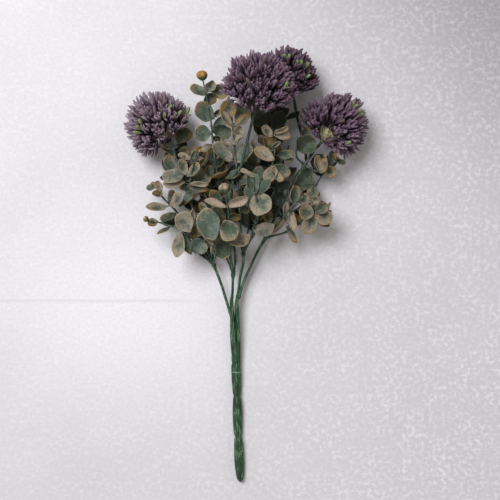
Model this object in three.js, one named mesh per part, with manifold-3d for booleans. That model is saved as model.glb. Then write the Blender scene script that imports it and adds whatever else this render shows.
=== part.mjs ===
// An artificial allium spray, lying on a table: four purple pompon heads on green stalks, with leafy
// eucalyptus sprigs plugged on the stalks' forks, and all the stalks twisted together into one stem.
// Millimetres. +Z is up from the table, +Y runs from the bound stem to the heads. The origin lies under
// the middle of the spray, at table height.
import * as THREE from "three";
import { ConvexHull } from "three/addons/math/ConvexHull.js";
import { mergeVertices } from "three/addons/utils/BufferGeometryUtils.js";
import Module from "manifold-3d";

const wasm = await Module();
wasm.setup();

// ---------------------------------------------------------------- driving dimensions
const JOINT_GAP = 0.3; // between a plugged piece and what carries it

const CORD_RADIUS = 3; // each of the two cords that the stalks are twisted into
const CORD_OFFSET = 0.85; // from the bound stem's axis to a cord's axis
const HALF_TWIST = 35; // along the stem, from one crossing of the cords to the next
const CROSSING_Y = -108; // where one crossing is
const CORD_SIDES = 6;
const CORD_STEPS = 12;
const CUT_END_RADIUS = 2.5;
const STRAND_RADIUS = 1.6; // of a stalk's lower end, which lies in the bound stem
const STRAND_LENGTH = 6; // the last stretch of a strand, which runs straight into its stalk
const STRAND_STEPS = 5;
const STRAND_START = 20; // how far above the third point of the bound stem's route a strand starts

const STALK_RADIUS = 1.15;
const STALK_SIDES = 5;
const STALK_END = 6; // the last stretch of a stalk, which runs straight into its head
const FORK_RADIUS = 2;
const SOCKET_RADIUS = 1.15; // of the stub on a fork that a sprig is plugged on
const SOCKET_ROOM = 2.6; // from the middle of a socket's end to the next rod's axis
const SPRIG_RADIUS = 0.85;
const SPRIG_SIDES = 4;
const STEPS_A_POINT = 2; // along a stalk or sprig, for each point of its route

const ROOT_OUT = 0.15; // from the stem's axis out to a leaf's root
const LEAF_THICKNESS = 0.7;
const LEAF_CUP = 0.16; // twice the depth of the bowl that a leaf forms, per length
const LEAF_WIDTH = 0.9; // per length
const TOP_PAIR = 0.96; // where the highest pair grows, of the sprig's route
const LOW_OPEN = 80; // degrees between the stem and the leaves of the lowest pair
const HIGH_OPEN = 52; // and of the highest
const OPEN_SPREAD = 10;
const TURN_SPREAD = 14; // degrees about the stem
const LENGTH_SPREAD = 0.09;
const WIDTH_SPREAD = 0.07;
const LEAST_FACE = 0.35; // how far a leaf turns its face up, of the sprig's own share
const FACE_RANGE = 1.3;

const LEAF_ROOM = 1; // kept clear round a leaf
const DISC_DROP = 0.9; // a leaf's place is tested as a flat disc, this far under its rim
const DISC_RIM = 0.8; // and this much larger
const DISC_HALF = 0.6; // half the height that a cupped leaf takes up about its disc
const NEAR_LEVEL = 0.35; // discs that lean less than this to each other are tested by their heights
const LEVEL_LEAN = 0.4; // what their lean adds to those heights, of their reach
const TABLE_TO_LEAF = 1.5;
const TIPS_TO_LEAF = 1.2; // from the tips of a head's florets
const CORE_TO_LEAF = 3; // from a head's bare side
const TIPS_ROUND = 12; // degrees that the florets' room goes on round the head past the last ones

const FLORETS_AND_BARE = 86; // places on a whole head, with the bare ones round its neck
const HEAD_CORE = 0.42; // of a head's radius
const BARE_RISE = 1.04; // a bare place's middle, of the core's radius
const FLORET_SWELL = 0.92; // where a floret is widest, of its length
const FLORET_RADIUS = 2.3;
const FLORET_LEAN = 0.07;
const SHORTEST = 0.94; // a floret's length, of the head's radius
const LONGEST = 1.02;
const TRIMMED = 0.55; // what is left of a floret that has no room, of the head's radius
const NECK_LENGTH = 4;
const NECK_RADIUS = 2.3;
const NECK_SIDES = 8;
const TABLE_ROOM = 0.1; // under the lowest florets

// ---------------------------------------------------------------- colours
const finish = (color, roughness) => new THREE.MeshStandardMaterial({ color, roughness, metalness: 0 });
const STEM_GREEN = finish(0x2f5f43, 0.5);
const LEAF_GREEN = finish(0x76857a, 0.75);
const FLORET_PURPLE = finish(0x6a5068, 0.8);

// ---------------------------------------------------------------- where everything goes
// The heads: the middle of the florets, the way that the crown faces, the reach of the florets, and how
// far round from the crown they grow, in degrees.
const HEADS = {
  left: { centre: [-72, 118, 27], crown: [-0.56, 0.8, 0.2], radius: 28, cover: 124 },
  right: { centre: [73, 117, 27], crown: [0.6, 0.77, 0.2], radius: 28, cover: 120 },
  front: { centre: [10.5, 143.5, 68], crown: [0.1, 0.82, 0.55], radius: 30.5, cover: 112 },
  rear: { centre: [35, 158, 25], crown: [-0.27, 0.95, 0.1], radius: 25.5, cover: 122 },
};

// The bound stem's axis, from its cut end up to where the stalks part.
const BOUND_ROUTE = [
  [-4.2, -179.5, 4.1],
  [-6, -143, 4.1],
  [-7, -108, 4.6],
  [-8.1, -76, 6.4],
  [-8.3, -60, 8],
];

// The stalks, from the bound stem up. A stalk with a head runs on to the head's neck. strand is where its
// lower end lies in the bound stem: across and up from the axis.
const STALKS = {
  left: {
    head: "left",
    strand: [-2.7, 0.4],
    route: [
      [-13, -37, 9.5], [-16, -27, 11], [-20, -14, 12.5], [-26.5, 3, 15], [-35, 23, 18],
      [-44, 52, 22], [-48, 65, 23], [-53, 79, 24], [-58, 93, 24],
    ],
  },
  front: {
    head: "front",
    strand: [-0.6, 2],
    route: [
      [-11, -25, 13.5], [-10.5, -18, 14.5], [-10, -5, 17.5], [-8, 8, 21], [-10, 25, 28],
      [-11, 52, 37], [-10, 71, 43], [-3, 84, 46], [2, 104, 48], [6, 119, 52],
    ],
  },
  middle: {
    strand: [0.6, 0],
    route: [[-6, -22, 10], [-4, -7, 12.5], [-1.5, 4.5, 15], [-1.5, 13, 16]],
  },
  right: {
    head: "right",
    strand: [2.5, 1.6],
    route: [
      [-5, -24.5, 13.5], [-1.5, -12.5, 13.5], [3.5, -1, 14.5], [10.5, 14, 16], [17, 25, 18],
      [29, 51, 20], [40, 70, 22], [49, 85, 24], [58, 99, 25],
    ],
  },
  rear: {
    head: "rear",
    strand: [1.2, -1.8],
    route: [
      [-7.5, -25, 7], [-3.5, -13, 7.2], [2, 0, 7.5], [10, 15, 7.5], [20, 30, 8],
      [32, 44, 9], [46, 67, 11], [51, 88, 13], [48, 107, 15], [43, 126, 20],
    ],
  },
};

// The forks that carry sprigs: a stalk, and which point of its route.
const FORKS = {
  left_low: ["left", 3],
  left_high: ["left", 6],
  front: ["front", 2],
  middle: ["middle", 3],
  right_low: ["right", 4],
  right_high: ["right", 7],
  rear: ["rear", 5],
};

// The sprigs, those nearest the viewer first, because each later one keeps clear of them. route starts at
// the fork. pairs is how many pairs of leaves, from the share low of the route up, big and small are the
// lengths of the lowest and highest leaves, turn is the angle of the lowest pair about the stem, and face
// is how far the leaves turn their faces up.
const SPRIGS = [
  {
    name: "sprig_front_bud", fork: "front", route: [[-12, 18, 42], [-13, 43, 57], [-16, 62, 67]],
    pairs: 4, low: 0.4, big: 16, small: 13, turn: 60, face: 0.7, bud: 3,
  },
  {
    name: "sprig_front_right", fork: "middle", route: [[6, 29, 38], [10, 49, 54], [6, 67, 61]],
    pairs: 4, low: 0.4, big: 17, small: 16, turn: 70, face: 1.4,
  },
  {
    name: "sprig_front_left", fork: "left_low", route: [[-24, 13, 35], [-26, 29, 49]],
    pairs: 3, low: 0.55, big: 18, small: 18, turn: 80, face: 1.4,
  },
  {
    name: "sprig_crown_left", fork: "front",
    route: [[-17, 30, 26], [-22, 71, 33], [-26, 100, 39], [-28, 122, 41], [-34, 152, 41]],
    pairs: 8, low: 0.22, big: 18, small: 12, turn: 50, face: 1, bud: 4,
  },
  {
    name: "sprig_crown_middle", fork: "middle",
    route: [[-4, 40, 34], [-7, 80, 39], [-9, 104, 41], [-11, 124, 41]],
    pairs: 6, low: 0.3, big: 17, small: 16, turn: 45, face: 1,
  },
  {
    name: "sprig_crown_right", fork: "middle",
    route: [[9, 36, 27], [16, 64, 36], [23, 89, 40], [26, 111, 38]],
    pairs: 6, low: 0.28, big: 16, small: 11, turn: 60, face: 1, bud: 1.6,
  },
  {
    name: "sprig_low_left", fork: "left_low",
    route: [[-40, 14, 25], [-50, 30, 31], [-65, 36, 32], [-80, 40, 32]],
    pairs: 5, low: 0.3, big: 18, small: 7, turn: 75, face: 1, bud: 2.4,
  },
  {
    name: "sprig_mid_left", fork: "left_low",
    route: [[-43, 23, 12], [-54, 43, 17], [-67, 57, 21], [-76, 69, 24]],
    pairs: 5, low: 0.22, big: 15, small: 8, turn: 30, face: 0.6, bud: 1.8,
  },
  {
    name: "sprig_high_left", fork: "left_high", route: [[-45, 71, 36], [-42, 83, 42], [-37, 94, 46]],
    pairs: 4, low: 0.3, big: 16, small: 10, turn: 80, face: 1, bud: 1.4,
  },
  {
    name: "sprig_low_right", fork: "right_low",
    route: [[34, 30, 21], [46, 38, 26], [58, 43, 28], [69, 46, 29]],
    pairs: 5, low: 0.25, big: 15, small: 12, turn: 40, face: 1, bud: 1.6,
  },
  {
    name: "sprig_mid_right", fork: "right_low", route: [[26, 35, 34], [37, 49, 41], [48, 59, 42]],
    pairs: 4, low: 0.35, big: 15, small: 12, turn: 60, face: 0.8, bud: 1.6,
  },
  {
    name: "sprig_high_right", fork: "right_high", route: [[42, 92, 34], [42, 107, 38]],
    pairs: 3, low: 0.35, big: 15, small: 12, turn: 60, face: 0.9,
  },
  {
    name: "sprig_tip_right", fork: "right_high", route: [[59, 80, 27], [68, 83, 28], [76, 90, 28]],
    pairs: 4, low: 0.3, big: 14, small: 8, turn: 45, face: 0.8, bud: 1.2,
  },
  {
    name: "sprig_neck_left", fork: "left_high", route: [[-56, 74, 13], [-61, 89, 11], [-59, 101, 11]],
    pairs: 4, low: 0.3, big: 15, small: 13, turn: 50, face: 0.8,
  },
  {
    name: "sprig_back_right", fork: "rear", route: [[46, 51, 16], [57, 66, 20], [65, 79, 15]],
    pairs: 4, low: 0.3, big: 16, small: 15, turn: 50, face: 1,
  },
  {
    name: "sprig_depth_left", fork: "front", route: [[-23, 27, 18], [-28, 58, 22], [-29, 88, 24]],
    pairs: 5, low: 0.22, big: 17, small: 15, turn: 40, face: 1,
  },
  {
    name: "sprig_depth_right", fork: "middle", route: [[14, 40, 17], [26, 70, 28], [31, 96, 26]],
    pairs: 4, low: 0.3, big: 17, small: 15, turn: 60, face: 1,
  },
  {
    name: "sprig_shade_middle", fork: "middle",
    route: [[4, 40, 9], [9, 74, 12], [17, 103, 12], [21, 127, 11]],
    pairs: 6, low: 0.25, big: 18, small: 16, turn: 70, face: 1,
  },
  {
    name: "sprig_back_left", fork: "left_low", route: [[-29, 27, 8], [-40, 70, 9], [-42, 93, 9]],
    pairs: 4, low: 0.3, big: 17, small: 15, turn: 60, face: 1,
  },
  {
    name: "sprig_back_middle", fork: "middle", route: [[-9, 37, 12], [-15, 69, 12], [-22, 97, 10]],
    pairs: 4, low: 0.3, big: 17, small: 15, turn: 80, face: 1,
  },
  {
    name: "sprig_under_right", fork: "rear", route: [[26, 60, 6], [30, 83, 6], [37, 103, 6]],
    pairs: 4, low: 0.3, big: 16, small: 15, turn: 50, face: 1,
  },
  {
    name: "sprig_collar_left", fork: "left_low", route: [[-33, 8, 10], [-39, 13, 9]],
    pairs: 2, low: 0.5, big: 10, small: 10, turn: 90, face: 0.8,
  },
];

// ---------------------------------------------------------------- points and draws
const vector = (p) => new THREE.Vector3(...p);
const radians = THREE.MathUtils.degToRad;

// Draws that come out alike each time.
class Draw {
  constructor(seed) {
    this.state = seed * 7919 + 104729;
  }
  next() {
    this.state = (this.state * 16807) % 2147483647;
    return this.state / 2147483647;
  }
  spread(size) {
    return (this.next() * 2 - 1) * size;
  }
}

const routeThrough = (points) => new THREE.CatmullRomCurve3(points, false, "catmullrom", 0.5);

// ---------------------------------------------------------------- solids
function solidOf(geometry) {
  geometry.deleteAttribute("normal");
  geometry.deleteAttribute("uv");
  const merged = mergeVertices(geometry, 1e-4);
  return new wasm.Manifold(
    new wasm.Mesh({
      numProp: 3,
      vertProperties: merged.attributes.position.array,
      triVerts: new Uint32Array(merged.index.array),
    }),
  );
}

function solidFromFaces(points, faces) {
  return new wasm.Manifold(
    new wasm.Mesh({
      numProp: 3,
      vertProperties: new Float32Array(points.flatMap((p) => [p.x, p.y, p.z])),
      triVerts: new Uint32Array(faces.flat()),
    }),
  );
}

const joined = (solids) => solids.reduce((whole, next) => whole.add(next));

function meshOf(name, solid, material) {
  const { vertProperties, triVerts } = solid.getMesh();
  const geometry = new THREE.BufferGeometry();
  geometry.setAttribute("position", new THREE.BufferAttribute(vertProperties, 3));
  geometry.setIndex(new THREE.BufferAttribute(triVerts, 1));
  const mesh = new THREE.Mesh(geometry, material);
  mesh.name = name;
  return mesh;
}

// A round rod of one radius along a curve, with flat ends.
function rod(curve, radius, sides, steps) {
  const section = new THREE.Shape();
  for (let i = 0; i < sides; i++) {
    const angle = (i / sides) * 2 * Math.PI;
    section[i ? "lineTo" : "moveTo"](radius * Math.cos(angle), radius * Math.sin(angle));
  }
  section.closePath();
  return solidOf(new THREE.ExtrudeGeometry(section, { extrudePath: curve, steps, curveSegments: 1 }));
}

function knob(centre, radius) {
  return solidOf(new THREE.IcosahedronGeometry(radius, 0).translate(centre.x, centre.y, centre.z));
}

// ---------------------------------------------------------------- the bound stem
// One of the two cords: it winds round the stem's axis, side by side with the other between crossings.
class CordPath extends THREE.Curve {
  constructor(axis, side) {
    super();
    this.axis = axis;
    this.side = side;
  }
  getPoint(t) {
    const point = this.axis.getPoint(t);
    const angle = ((point.y - CROSSING_Y) / HALF_TWIST + 0.5) * Math.PI;
    const apart = CORD_OFFSET * Math.min(1, 0.2 + t * 12);
    point.x += this.side * apart * Math.cos(angle);
    point.z += this.side * apart * Math.sin(angle);
    return point;
  }
}

function boundStem() {
  const axis = routeThrough(BOUND_ROUTE.map(vector));
  const cords = [-1, 1].map((side) => rod(new CordPath(axis, side), CORD_RADIUS, CORD_SIDES, CORD_STEPS));
  const cutEnd = knob(vector(BOUND_ROUTE[0]), CUT_END_RADIUS);
  // Each stalk goes on into the bound stem as a strand that lies against the others.
  const strands = Object.values(STALKS).map(({ route, strand: [across, up] }) => {
    const [first, second] = route.map(vector);
    const way = second.clone().sub(first).normalize();
    const offset = new THREE.Vector3(across, 0, up);
    const points = [
      vector(BOUND_ROUTE[2]).addScaledVector(offset, 0.4).add(new THREE.Vector3(0, STRAND_START, 0)),
      vector(BOUND_ROUTE.at(-1)).add(offset),
      first.clone().addScaledVector(way, -STRAND_LENGTH),
      first.clone().addScaledVector(way, -JOINT_GAP),
    ];
    return rod(routeThrough(points), STRAND_RADIUS, STALK_SIDES, STRAND_STEPS);
  });
  return joined([...cords, cutEnd, ...strands]);
}

// ---------------------------------------------------------------- the stalks
const headSeat = ({ centre, crown, radius }) =>
  vector(centre).addScaledVector(vector(crown).normalize(), -radius * HEAD_CORE - NECK_LENGTH);

function stalkRoute({ head, route }) {
  const points = route.map(vector);
  if (head) {
    const crown = vector(HEADS[head].crown).normalize();
    const below = (distance) => headSeat(HEADS[head]).addScaledVector(crown, -distance);
    points.push(below(STALK_END), below(JOINT_GAP));
  }
  return routeThrough(points);
}

const forkPlace = ([of, at]) => vector(STALKS[of].route[at]);
const sprigWay = ({ fork, route }) => vector(route[0]).sub(forkPlace(FORKS[fork])).normalize();

// How far a fork's sockets reach: as far as it takes for the rods that part there to be clear of each other.
function socketReach(fork) {
  const [of, at] = FORKS[fork];
  const { route } = STALKS[of];
  const centre = forkPlace(FORKS[fork]);
  const ways = SPRIGS.filter((sprig) => sprig.fork === fork).map(sprigWay);
  for (const beside of [route[at - 1], route[at + 1]]) {
    if (beside) ways.push(vector(beside).sub(centre).normalize());
  }
  const angles = ways.flatMap((way, i) => ways.slice(i + 1).map((other) => way.angleTo(other)));
  const smallest = Math.min(Math.PI / 2, ...angles);
  return Math.max(FORK_RADIUS + 1, SOCKET_ROOM / Math.sin(smallest));
}

function stalk(name) {
  const curve = stalkRoute(STALKS[name]);
  const parts = [rod(curve, STALK_RADIUS, STALK_SIDES, (curve.points.length - 1) * STEPS_A_POINT)];
  for (const [fork, place] of Object.entries(FORKS)) {
    if (place[0] !== name) continue;
    const centre = forkPlace(place);
    parts.push(knob(centre, FORK_RADIUS));
    for (const sprig of SPRIGS.filter((one) => one.fork === fork)) {
      const end = centre.clone().addScaledVector(sprigWay(sprig), socketReach(fork));
      parts.push(rod(new THREE.LineCurve3(centre, end), SOCKET_RADIUS, SPRIG_SIDES, 1));
    }
  }
  return joined(parts);
}

// ---------------------------------------------------------------- the sprigs
function sprigRoute(sprig) {
  const start = forkPlace(FORKS[sprig.fork]);
  start.addScaledVector(sprigWay(sprig), socketReach(sprig.fork) + JOINT_GAP);
  return routeThrough([start, ...sprig.route.map(vector)]);
}

const budPlace = ({ bud }, curve) => curve.getPoint(1).addScaledVector(curve.getTangent(1), bud * 0.6);

// What is already in place: the leaves, and the rods as rows of points.
const placedLeaves = [];
const rodPoints = [];

function noteRod(name, curve, radius) {
  const steps = Math.ceil(curve.getLength() / 2);
  for (let i = 0; i <= steps; i++) rodPoints.push({ name, radius, point: curve.getPoint(i / steps) });
}

function noteSprig(sprig) {
  const curve = sprigRoute(sprig);
  noteRod(sprig.name, curve, SPRIG_RADIUS);
  if (sprig.bud) rodPoints.push({ name: sprig.name, radius: sprig.bud, point: budPlace(sprig, curve) });
  const fork = forkPlace(FORKS[sprig.fork]);
  rodPoints.push({ name: "fork", radius: FORK_RADIUS, point: fork });
  noteRod("socket", new THREE.LineCurve3(fork, curve.getPoint(0)), SOCKET_RADIUS);
}

function discsCross(a, b) {
  const between = b.centre.clone().sub(a.centre);
  const reach = a.radius + b.radius;
  const line = a.normal.clone().cross(b.normal);
  const slope = line.length();
  if (slope < NEAR_LEVEL) {
    const apart = Math.min(Math.abs(between.dot(a.normal)), Math.abs(between.dot(b.normal)));
    return apart < LEAF_ROOM + 1 + slope * reach * LEVEL_LEAN;
  }
  line.divideScalar(slope);
  const fromA = Math.abs(between.dot(b.normal)) / slope;
  const fromB = Math.abs(between.dot(a.normal)) / slope;
  if (fromA > a.radius || fromB > b.radius) return false;
  const chords = Math.sqrt(a.radius ** 2 - fromA ** 2) + Math.sqrt(b.radius ** 2 - fromB ** 2);
  return Math.abs(between.dot(line)) < chords + LEAF_ROOM / 2;
}

function rodCrosses(disc, { point, radius }) {
  const away = point.clone().sub(disc.centre);
  const height = away.dot(disc.normal);
  const aside = away.addScaledVector(disc.normal, -height).length();
  return Math.abs(height) < radius + LEAF_ROOM + DISC_HALF && aside < disc.radius + radius;
}

function headTouches(point) {
  return Object.values(HEADS).some(({ centre, crown, radius, cover }) => {
    const away = point.clone().sub(vector(centre));
    const byFlorets = away.angleTo(vector(crown)) < radians(cover + TIPS_ROUND);
    return away.length() < (byFlorets ? radius + TIPS_TO_LEAF : radius * HEAD_CORE + CORE_TO_LEAF);
  });
}

function leavesCross(a, b) {
  const reach = a.disc.radius + b.disc.radius + 1;
  if (a.disc.centre.distanceTo(b.disc.centre) > reach) return false;
  if (discsCross(a.disc, b.disc)) return true;
  const near = (point, disc) => rodCrosses(disc, { point, radius: 0 });
  return a.rim.some((point) => near(point, b.disc)) || b.rim.some((point) => near(point, a.disc));
}

function isClear(leaf, own) {
  if (leaf.rim.some((point) => point.z < TABLE_TO_LEAF || headTouches(point))) return false;
  if (placedLeaves.some((other) => leavesCross(leaf, other))) return false;
  return !rodPoints.some((place) => place.name !== own && rodCrosses(leaf.disc, place));
}

// The ways that a leaf is changed until it is clear: turned about the stem, opened, rolled, made smaller.
const TRIES = [[0, 0, 0, 1]];
for (const size of [1, 0.8]) {
  for (const [about, open] of [[14, 0], [28, 0], [14, 12], [28, 12], [42, 0], [42, -14], [60, 8], [75, 0]]) {
    for (const side of [1, -1]) {
      for (const roll of [0, 0.5]) TRIES.push([side * about, open, roll, size]);
    }
  }
}

function leafAt(foot, tangent, about, open, face, length, width) {
  const level = new THREE.Vector3(0, 0, 1);
  const toViewer = level.addScaledVector(tangent, -level.dot(tangent));
  if (toViewer.length() < 0.25) toViewer.set(0, -1, 0).addScaledVector(tangent, tangent.y);
  toViewer.normalize();
  const aside = tangent.clone().cross(toViewer);
  const out = toViewer.multiplyScalar(Math.cos(about)).addScaledVector(aside, Math.sin(about));
  const along = tangent.clone().multiplyScalar(Math.cos(open)).addScaledVector(out, Math.sin(open));
  const up = tangent.clone().multiplyScalar(Math.sin(open)).addScaledVector(out, -Math.cos(open));
  const skyward = new THREE.Vector3(0, 0, 1).addScaledVector(along, -along.z);
  up.addScaledVector(skyward, face).normalize();
  const root = foot.clone().addScaledVector(out, ROOT_OUT);
  const centre = root.clone().addScaledVector(along, length * 0.53).addScaledVector(up, -DISC_DROP);
  const across = up.clone().cross(along);
  const rim = Array.from({ length: 8 }, (_, i) => {
    const angle = (i / 8) * 2 * Math.PI;
    const ahead = centre.clone().addScaledVector(along, (length / 2) * Math.cos(angle));
    return ahead.addScaledVector(across, (width / 2) * Math.sin(angle));
  });
  return { root, along, up, length, width, rim, disc: { centre, normal: up, radius: length / 2 + DISC_RIM } };
}

function leavesOf(sprig, index) {
  const curve = sprigRoute(sprig);
  const draw = new Draw(index + 1);
  const leaves = [];
  for (let pair = 0; pair < sprig.pairs; pair++) {
    const share = pair / (sprig.pairs - 1);
    const at = sprig.low + (TOP_PAIR - sprig.low) * share;
    const foot = curve.getPoint(at);
    const tangent = curve.getTangent(at);
    const turn = sprig.turn + 90 * pair + draw.spread(TURN_SPREAD);
    for (const side of [0, 180]) {
      const mean = sprig.big + (sprig.small - sprig.big) * share * share;
      const length = mean * (1 + draw.spread(LENGTH_SPREAD));
      const width = length * LEAF_WIDTH * (1 + draw.spread(WIDTH_SPREAD));
      const open = LOW_OPEN + (HIGH_OPEN - LOW_OPEN) * share + draw.spread(OPEN_SPREAD);
      const face = sprig.face * (LEAST_FACE + FACE_RANGE * draw.next());
      for (const [about, wider, roll, size] of TRIES) {
        const angles = [radians(turn + side + about), radians(open + wider)];
        const leaf = leafAt(foot, tangent, ...angles, face + roll, length * size, width * size);
        if (!isClear(leaf, sprig.name)) continue;
        placedLeaves.push(leaf);
        leaves.push(leaf);
        break;
      }
    }
  }
  return leaves;
}

// A leaf is a thin bowl with a pointed foot. Its outline, as shares of the length and the width.
const LEAF_OUTLINE = [[0, 0], [0.22, 0.43], [0.7, 0.5], [1, 0], [0.7, -0.5], [0.22, -0.43]];

function blade({ root, along, up, length, width }) {
  const place = new THREE.Matrix4().makeBasis(along, up.clone().cross(along), up).setPosition(root);
  const bowl = (x, y) => LEAF_CUP * length * 0.5 * ((2 * x - 1) ** 2 + (2 * y) ** 2 - 1);
  const corner = ([x, y], drop) => vector([x * length, y * width, bowl(x, y) - drop]).applyMatrix4(place);
  const layer = (drop) => [...LEAF_OUTLINE, [0.5, 0]].map((xy) => corner(xy, drop));
  const count = LEAF_OUTLINE.length;
  const below = count + 1;
  const faces = [];
  const addBothSides = (a, b, c) => faces.push([a, c, b], [below + a, below + b, below + c]);
  // One triangle at the foot, and a fan round the middle from there on.
  addBothSides(count - 1, 0, 1);
  for (let i = 1; i < count; i++) addBothSides(count, i, i + 1 < count ? i + 1 : 1);
  for (let i = 0; i < count; i++) {
    const next = (i + 1) % count;
    faces.push([i, next, below + next], [i, below + next, below + i]);
  }
  return solidFromFaces([...layer(0), ...layer(LEAF_THICKNESS)], faces);
}

function sprigSolid(sprig, leaves) {
  const curve = sprigRoute(sprig);
  const parts = [rod(curve, SPRIG_RADIUS, SPRIG_SIDES, (curve.points.length - 1) * STEPS_A_POINT)];
  for (const leaf of leaves) parts.push(blade(leaf));
  if (sprig.bud) parts.push(knob(budPlace(sprig, curve), sprig.bud));
  return joined(parts);
}

// ---------------------------------------------------------------- the heads
// Places spread evenly over a ball, from the crown down.
function spreadDirections(count) {
  const golden = Math.PI * (3 - Math.sqrt(5));
  return Array.from({ length: count }, (_, i) => {
    const height = 1 - (2 * i + 1) / count;
    const reach = Math.sqrt(1 - height * height);
    return new THREE.Vector3(reach * Math.cos(i * golden), reach * Math.sin(i * golden), height);
  });
}

// How far a floret reaches along a direction: less where it would meet the table or the head in front.
function floretReach(name, direction, wanted) {
  const centre = vector(HEADS[name].centre);
  const front = HEADS.front;
  const rival = vector(front.centre);
  let reach = wanted;
  while (reach > HEADS[name].radius * TRIMMED) {
    const tip = centre.clone().addScaledVector(direction, reach);
    const room = front.radius * LONGEST + FLORET_RADIUS + TIPS_TO_LEAF / 2;
    const meets = name === "rear" && tip.distanceTo(rival) < room;
    if (tip.z > TABLE_ROOM && !meets) break;
    reach -= 0.25;
  }
  return reach;
}

function headSolid(name, index) {
  const { centre, crown, radius, cover } = HEADS[name];
  const middle = vector(centre);
  const top = new THREE.Vector3(0, 0, 1);
  const turn = new THREE.Quaternion().setFromUnitVectors(top, vector(crown).normalize());
  const places = spreadDirections(FLORETS_AND_BARE);
  const around = places.map(() => []);
  const order = new Map(places.map((place, i) => [place, i]));
  const points = [];
  const faces = [];
  const add = (point) => points.push(point) - 1;
  const draw = new Draw(index + 41);

  // The corners between the places, on the core.
  for (const face of new ConvexHull().setFromPoints(places).faces) {
    const owners = [face.edge, face.edge.next, face.edge.prev].map((edge) => order.get(edge.head().point));
    const corner = new THREE.Vector3();
    for (const owner of owners) corner.add(places[owner]);
    corner.normalize();
    const id = add(middle.clone().addScaledVector(corner.clone().applyQuaternion(turn), radius * HEAD_CORE));
    for (const owner of owners) around[owner].push({ corner, id });
  }

  places.forEach((place, i) => {
    const east = top.clone().cross(place).normalize();
    const north = place.clone().cross(east);
    const angleOf = ({ corner }) => Math.atan2(corner.dot(north), corner.dot(east));
    const ring = around[i].sort((a, b) => angleOf(a) - angleOf(b));
    const leanEast = draw.spread(FLORET_LEAN);
    const leanNorth = draw.spread(FLORET_LEAN);
    const leaning = place.clone().addScaledVector(east, leanEast).addScaledVector(north, leanNorth);
    const direction = leaning.normalize().applyQuaternion(turn);
    const wanted = radius * (SHORTEST + draw.next() * (LONGEST - SHORTEST));
    if (place.angleTo(top) > radians(cover)) {
      const apex = add(middle.clone().addScaledVector(direction, radius * HEAD_CORE * BARE_RISE));
      ring.forEach(({ id }, k) => faces.push([id, ring[(k + 1) % ring.length].id, apex]));
      return;
    }
    const reach = floretReach(name, direction, wanted);
    const widest = middle.clone().addScaledVector(direction, reach * FLORET_SWELL);
    const swell = ring.map(({ corner }) => {
      const sideways = corner.clone().addScaledVector(place, -corner.dot(place)).normalize();
      return add(widest.clone().addScaledVector(sideways.applyQuaternion(turn), FLORET_RADIUS));
    });
    const apex = add(middle.clone().addScaledVector(direction, reach));
    ring.forEach(({ id }, k) => {
      const next = (k + 1) % ring.length;
      faces.push([id, ring[next].id, swell[next]], [id, swell[next], swell[k]]);
      faces.push([swell[k], swell[next], apex]);
    });
  });

  const neckTop = middle.clone().lerp(headSeat(HEADS[name]), 0.5);
  const neck = rod(new THREE.LineCurve3(neckTop, headSeat(HEADS[name])), NECK_RADIUS, NECK_SIDES, 1);
  return solidFromFaces(points, faces).add(neck);
}

// ---------------------------------------------------------------- the spray
const spray = new THREE.Group();
spray.add(meshOf("bound_stem", boundStem(), STEM_GREEN));

for (const name of Object.keys(STALKS)) {
  noteRod(`stalk_${name}`, stalkRoute(STALKS[name]), STALK_RADIUS);
  spray.add(meshOf(`stalk_${name}`, stalk(name), STEM_GREEN));
}
SPRIGS.forEach(noteSprig);
SPRIGS.forEach((sprig, index) => {
  spray.add(meshOf(sprig.name, sprigSolid(sprig, leavesOf(sprig, index)), LEAF_GREEN));
});
Object.keys(HEADS).forEach((name, index) => {
  spray.add(meshOf(`head_${name}`, headSolid(name, index), FLORET_PURPLE));
});

export default spray;
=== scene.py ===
"""An artificial allium spray, lying on a table.

Four purple pompon heads stand on green stalks, leafy eucalyptus sprigs are plugged on the stalks' forks, and
all the stalks are twisted together into one stem. Routes and sizes are in millimetres, in the frame of the
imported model, and become metres as a piece is made.
"""

import math

import bpy
import numpy as np
from bpy.props import FloatProperty, FloatVectorProperty, IntProperty, PointerProperty
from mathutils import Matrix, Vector


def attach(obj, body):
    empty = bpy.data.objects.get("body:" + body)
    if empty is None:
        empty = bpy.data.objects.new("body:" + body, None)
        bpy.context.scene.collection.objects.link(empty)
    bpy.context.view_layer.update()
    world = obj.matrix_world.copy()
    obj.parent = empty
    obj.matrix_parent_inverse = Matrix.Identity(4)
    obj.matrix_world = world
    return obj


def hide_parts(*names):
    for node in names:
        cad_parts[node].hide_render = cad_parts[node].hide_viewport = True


bl_info = {
    "name": "Allium spray",
    "version": (1, 0, 0),
    "blender": (4, 5, 0),
    "location": "3D View > Sidebar > Spray",
    "description": "Makes the heads, sprigs and stems of an artificial allium spray on its packed frame",
    "category": "Object",
}

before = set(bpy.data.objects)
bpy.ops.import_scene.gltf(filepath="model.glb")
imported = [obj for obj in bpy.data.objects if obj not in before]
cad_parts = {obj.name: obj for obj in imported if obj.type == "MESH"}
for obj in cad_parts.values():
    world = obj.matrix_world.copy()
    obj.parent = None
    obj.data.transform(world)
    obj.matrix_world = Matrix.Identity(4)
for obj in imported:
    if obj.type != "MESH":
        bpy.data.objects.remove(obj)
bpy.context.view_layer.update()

MM = 0.001
BODY = "root"

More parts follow.
